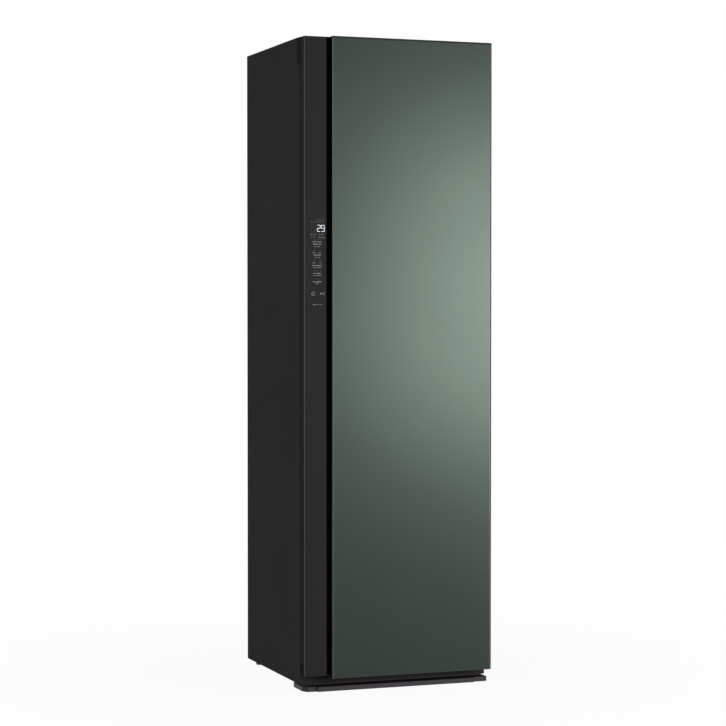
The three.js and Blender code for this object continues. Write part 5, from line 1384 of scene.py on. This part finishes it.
class SteamCabinetStudio(Operator):
    """The pale floor, the soft lights and the camera"""
    bl_idname = "steam_cabinet.studio"
    bl_label = "Studio"

    def execute(self, context):
        stage = context.scene.steam_cabinet_stage
        self.floor(stage)
        self.world(context.scene, stage)
        middle = (0, 0, 1.0)
        self.area("key_light", stage.key_place, (0, -0.3, 0.92), (stage.key_width, stage.key_height),
                  stage.key_power, stage.key_roll)
        self.area("rim_light", stage.rim_place, (-0.3, -0.29, 1.1), (0.35, 2.4), stage.rim_power)
        self.area("fill_light", stage.fill_place, middle, (2.4, 2.4), stage.fill_power)
        self.area("top_light", stage.top_place, middle, (3.0, 3.0), stage.top_power)
        self.camera(context.scene, stage)
        context.scene.view_settings.view_transform = "Standard"
        return {"FINISHED"}

    def floor(self, stage):
        """A wide flat square under the feet. The camera sees mostly plain white in it, and a faint shadow."""
        reach, near, far = 14.0, 0.5, 2.2
        mesh = bpy.data.meshes.new("floor")
        corners = [(-reach, -reach, 0), (reach, -reach, 0), (reach, reach, 0), (-reach, reach, 0)]
        mesh.from_pydata(corners, [], [(0, 1, 2, 3)])
        floor = bpy.data.objects.new("floor", mesh)
        bpy.context.scene.collection.objects.link(floor)
        material = painted("floor_paint", (0.86, 0.86, 0.86), 0.9, Specular_IOR_Level=0.1)
        tree = material.node_tree
        rays = tree.nodes.new("ShaderNodeLightPath").outputs
        seen = combined(tree, "MAXIMUM", rays["Is Camera Ray"], rays["Is Glossy Ray"])
        away = tree.nodes.new("ShaderNodeVectorMath")
        away.operation = "LENGTH"
        tree.links.new(tree.nodes.new("ShaderNodeTexCoord").outputs["Object"], away.inputs[0])
        white = between(material, away.outputs["Value"], stage.floor_white, 1.0, near, far)
        mix = tree.nodes.new("ShaderNodeMixShader")
        tree.links.new(combined(tree, "MULTIPLY", seen, white), mix.inputs["Fac"])
        tree.links.new(tree.nodes["Principled BSDF"].outputs["BSDF"], mix.inputs[1])
        tree.links.new(tree.nodes.new("ShaderNodeEmission").outputs["Emission"], mix.inputs[2])
        tree.links.new(mix.outputs["Shader"], tree.nodes["Material Output"].inputs["Surface"])
        mesh.materials.append(material)

    def world(self, scene, stage):
        """White for what the camera, metal and glass see, and an even soft level for the rest."""
        world = bpy.data.worlds.new("studio")
        world.use_nodes = True
        tree = world.node_tree
        back = tree.nodes["Background"]
        back.inputs["Color"].default_value = (1, 1, 1, 1)
        rays = tree.nodes.new("ShaderNodeLightPath").outputs
        seen = combined(tree, "MAXIMUM", rays["Is Camera Ray"], rays["Is Glossy Ray"])
        seen = combined(tree, "MAXIMUM", seen, rays["Is Transmission Ray"])
        tree.links.new(between(world, seen, stage.ambient, 1.0, 0, 1), back.inputs["Strength"])
        scene.world = world

    def area(self, name, place, target, sides, power, roll=0.0):
        """A soft rectangular light that faces a target, rolled about its own axis."""
        light = bpy.data.lights.new(name, "AREA")
        light.shape = "RECTANGLE"
        light.size, light.size_y = sides
        light.energy = power
        lamp = bpy.data.objects.new(name, light)
        lamp.location = place
        step = np.array(target) - np.array(place)
        flat = math.hypot(step[0], step[1])
        aim = Euler((math.atan2(flat, -step[2]), 0, math.atan2(-step[0], step[1]))).to_matrix()
        lamp.rotation_euler = (aim @ Matrix.Rotation(roll, 3, "Z")).to_euler()
        bpy.context.scene.collection.objects.link(lamp)

    def camera(self, scene, stage):
        """The photograph's view: turned about the vertical, then tilted from level."""
        lens = bpy.data.cameras.new("camera")
        lens.lens = stage.camera_lens
        lens.sensor_width = 36
        lens.clip_end = 100
        camera = bpy.data.objects.new("camera", lens)
        camera.location = stage.camera_place
        camera.rotation_euler = (math.pi / 2 + stage.camera_tilt, 0, stage.camera_turn)
        scene.collection.objects.link(camera)
        scene.camera = camera


class SteamCabinetSidebar(Panel):
    """Sizes, colours and the steps that make the cabinet"""
    bl_idname = "VIEW3D_PT_steam_cabinet"
    bl_label = "Steam Cabinet"
    bl_space_type = "VIEW_3D"
    bl_region_type = "UI"
    bl_category = "Steam Cabinet"

    def draw(self, context):
        for step in STEPS:
            self.layout.operator(step.bl_idname)
        for group in GROUPS:
            values = getattr(context.scene, group)
            self.layout.label(text=group.replace("_", " "))
            for key in values.bl_rna.properties.keys():
                if key not in ("rna_type", "name"):
                    self.layout.prop(values, key)


GROUPS = {
    "steam_cabinet_colours": SteamCabinetColours,
    "steam_cabinet_door": SteamCabinetDoor,
    "steam_cabinet_display": SteamCabinetDisplay,
    "steam_cabinet_body": SteamCabinetBody,
    "steam_cabinet_stage": SteamCabinetStage,
}
STEPS = (
    SteamCabinetFinishes, SteamCabinetFrontPanel, SteamCabinetStrip, SteamCabinetDisplayMarks,
    SteamCabinetDoorTrim, SteamCabinetDoorInside, SteamCabinetSkins, SteamCabinetTopAndBack, SteamCabinetBase,
    SteamCabinetFeet, SteamCabinetChamber, SteamCabinetRail, SteamCabinetLoosePieces, SteamCabinetMachineRoom,
    SteamCabinetStudio,
)


def register():
    for group, kind in GROUPS.items():
        bpy.utils.register_class(kind)
        setattr(bpy.types.Scene, group, PointerProperty(type=kind))
    for kind in (*STEPS, SteamCabinetSidebar):
        bpy.utils.register_class(kind)


def unregister():
    for kind in (*STEPS, SteamCabinetSidebar):
        bpy.utils.unregister_class(kind)
    for group, kind in GROUPS.items():
        delattr(bpy.types.Scene, group)
        bpy.utils.unregister_class(kind)


def main():
    register()
    bpy.ops.steam_cabinet.finishes()
    bpy.ops.steam_cabinet.front_panel()
    bpy.ops.steam_cabinet.strip()
    bpy.ops.steam_cabinet.display()
    bpy.ops.steam_cabinet.door_trim()
    bpy.ops.steam_cabinet.door_inside()
    bpy.ops.steam_cabinet.skins()
    bpy.ops.steam_cabinet.top_and_back()
    bpy.ops.steam_cabinet.base()
    bpy.ops.steam_cabinet.feet()
    bpy.ops.steam_cabinet.chamber()
    bpy.ops.steam_cabinet.rail()
    bpy.ops.steam_cabinet.loose()
    bpy.ops.steam_cabinet.machine_room()
    bpy.ops.steam_cabinet.studio()


if __name__ == "__main__":
    main()
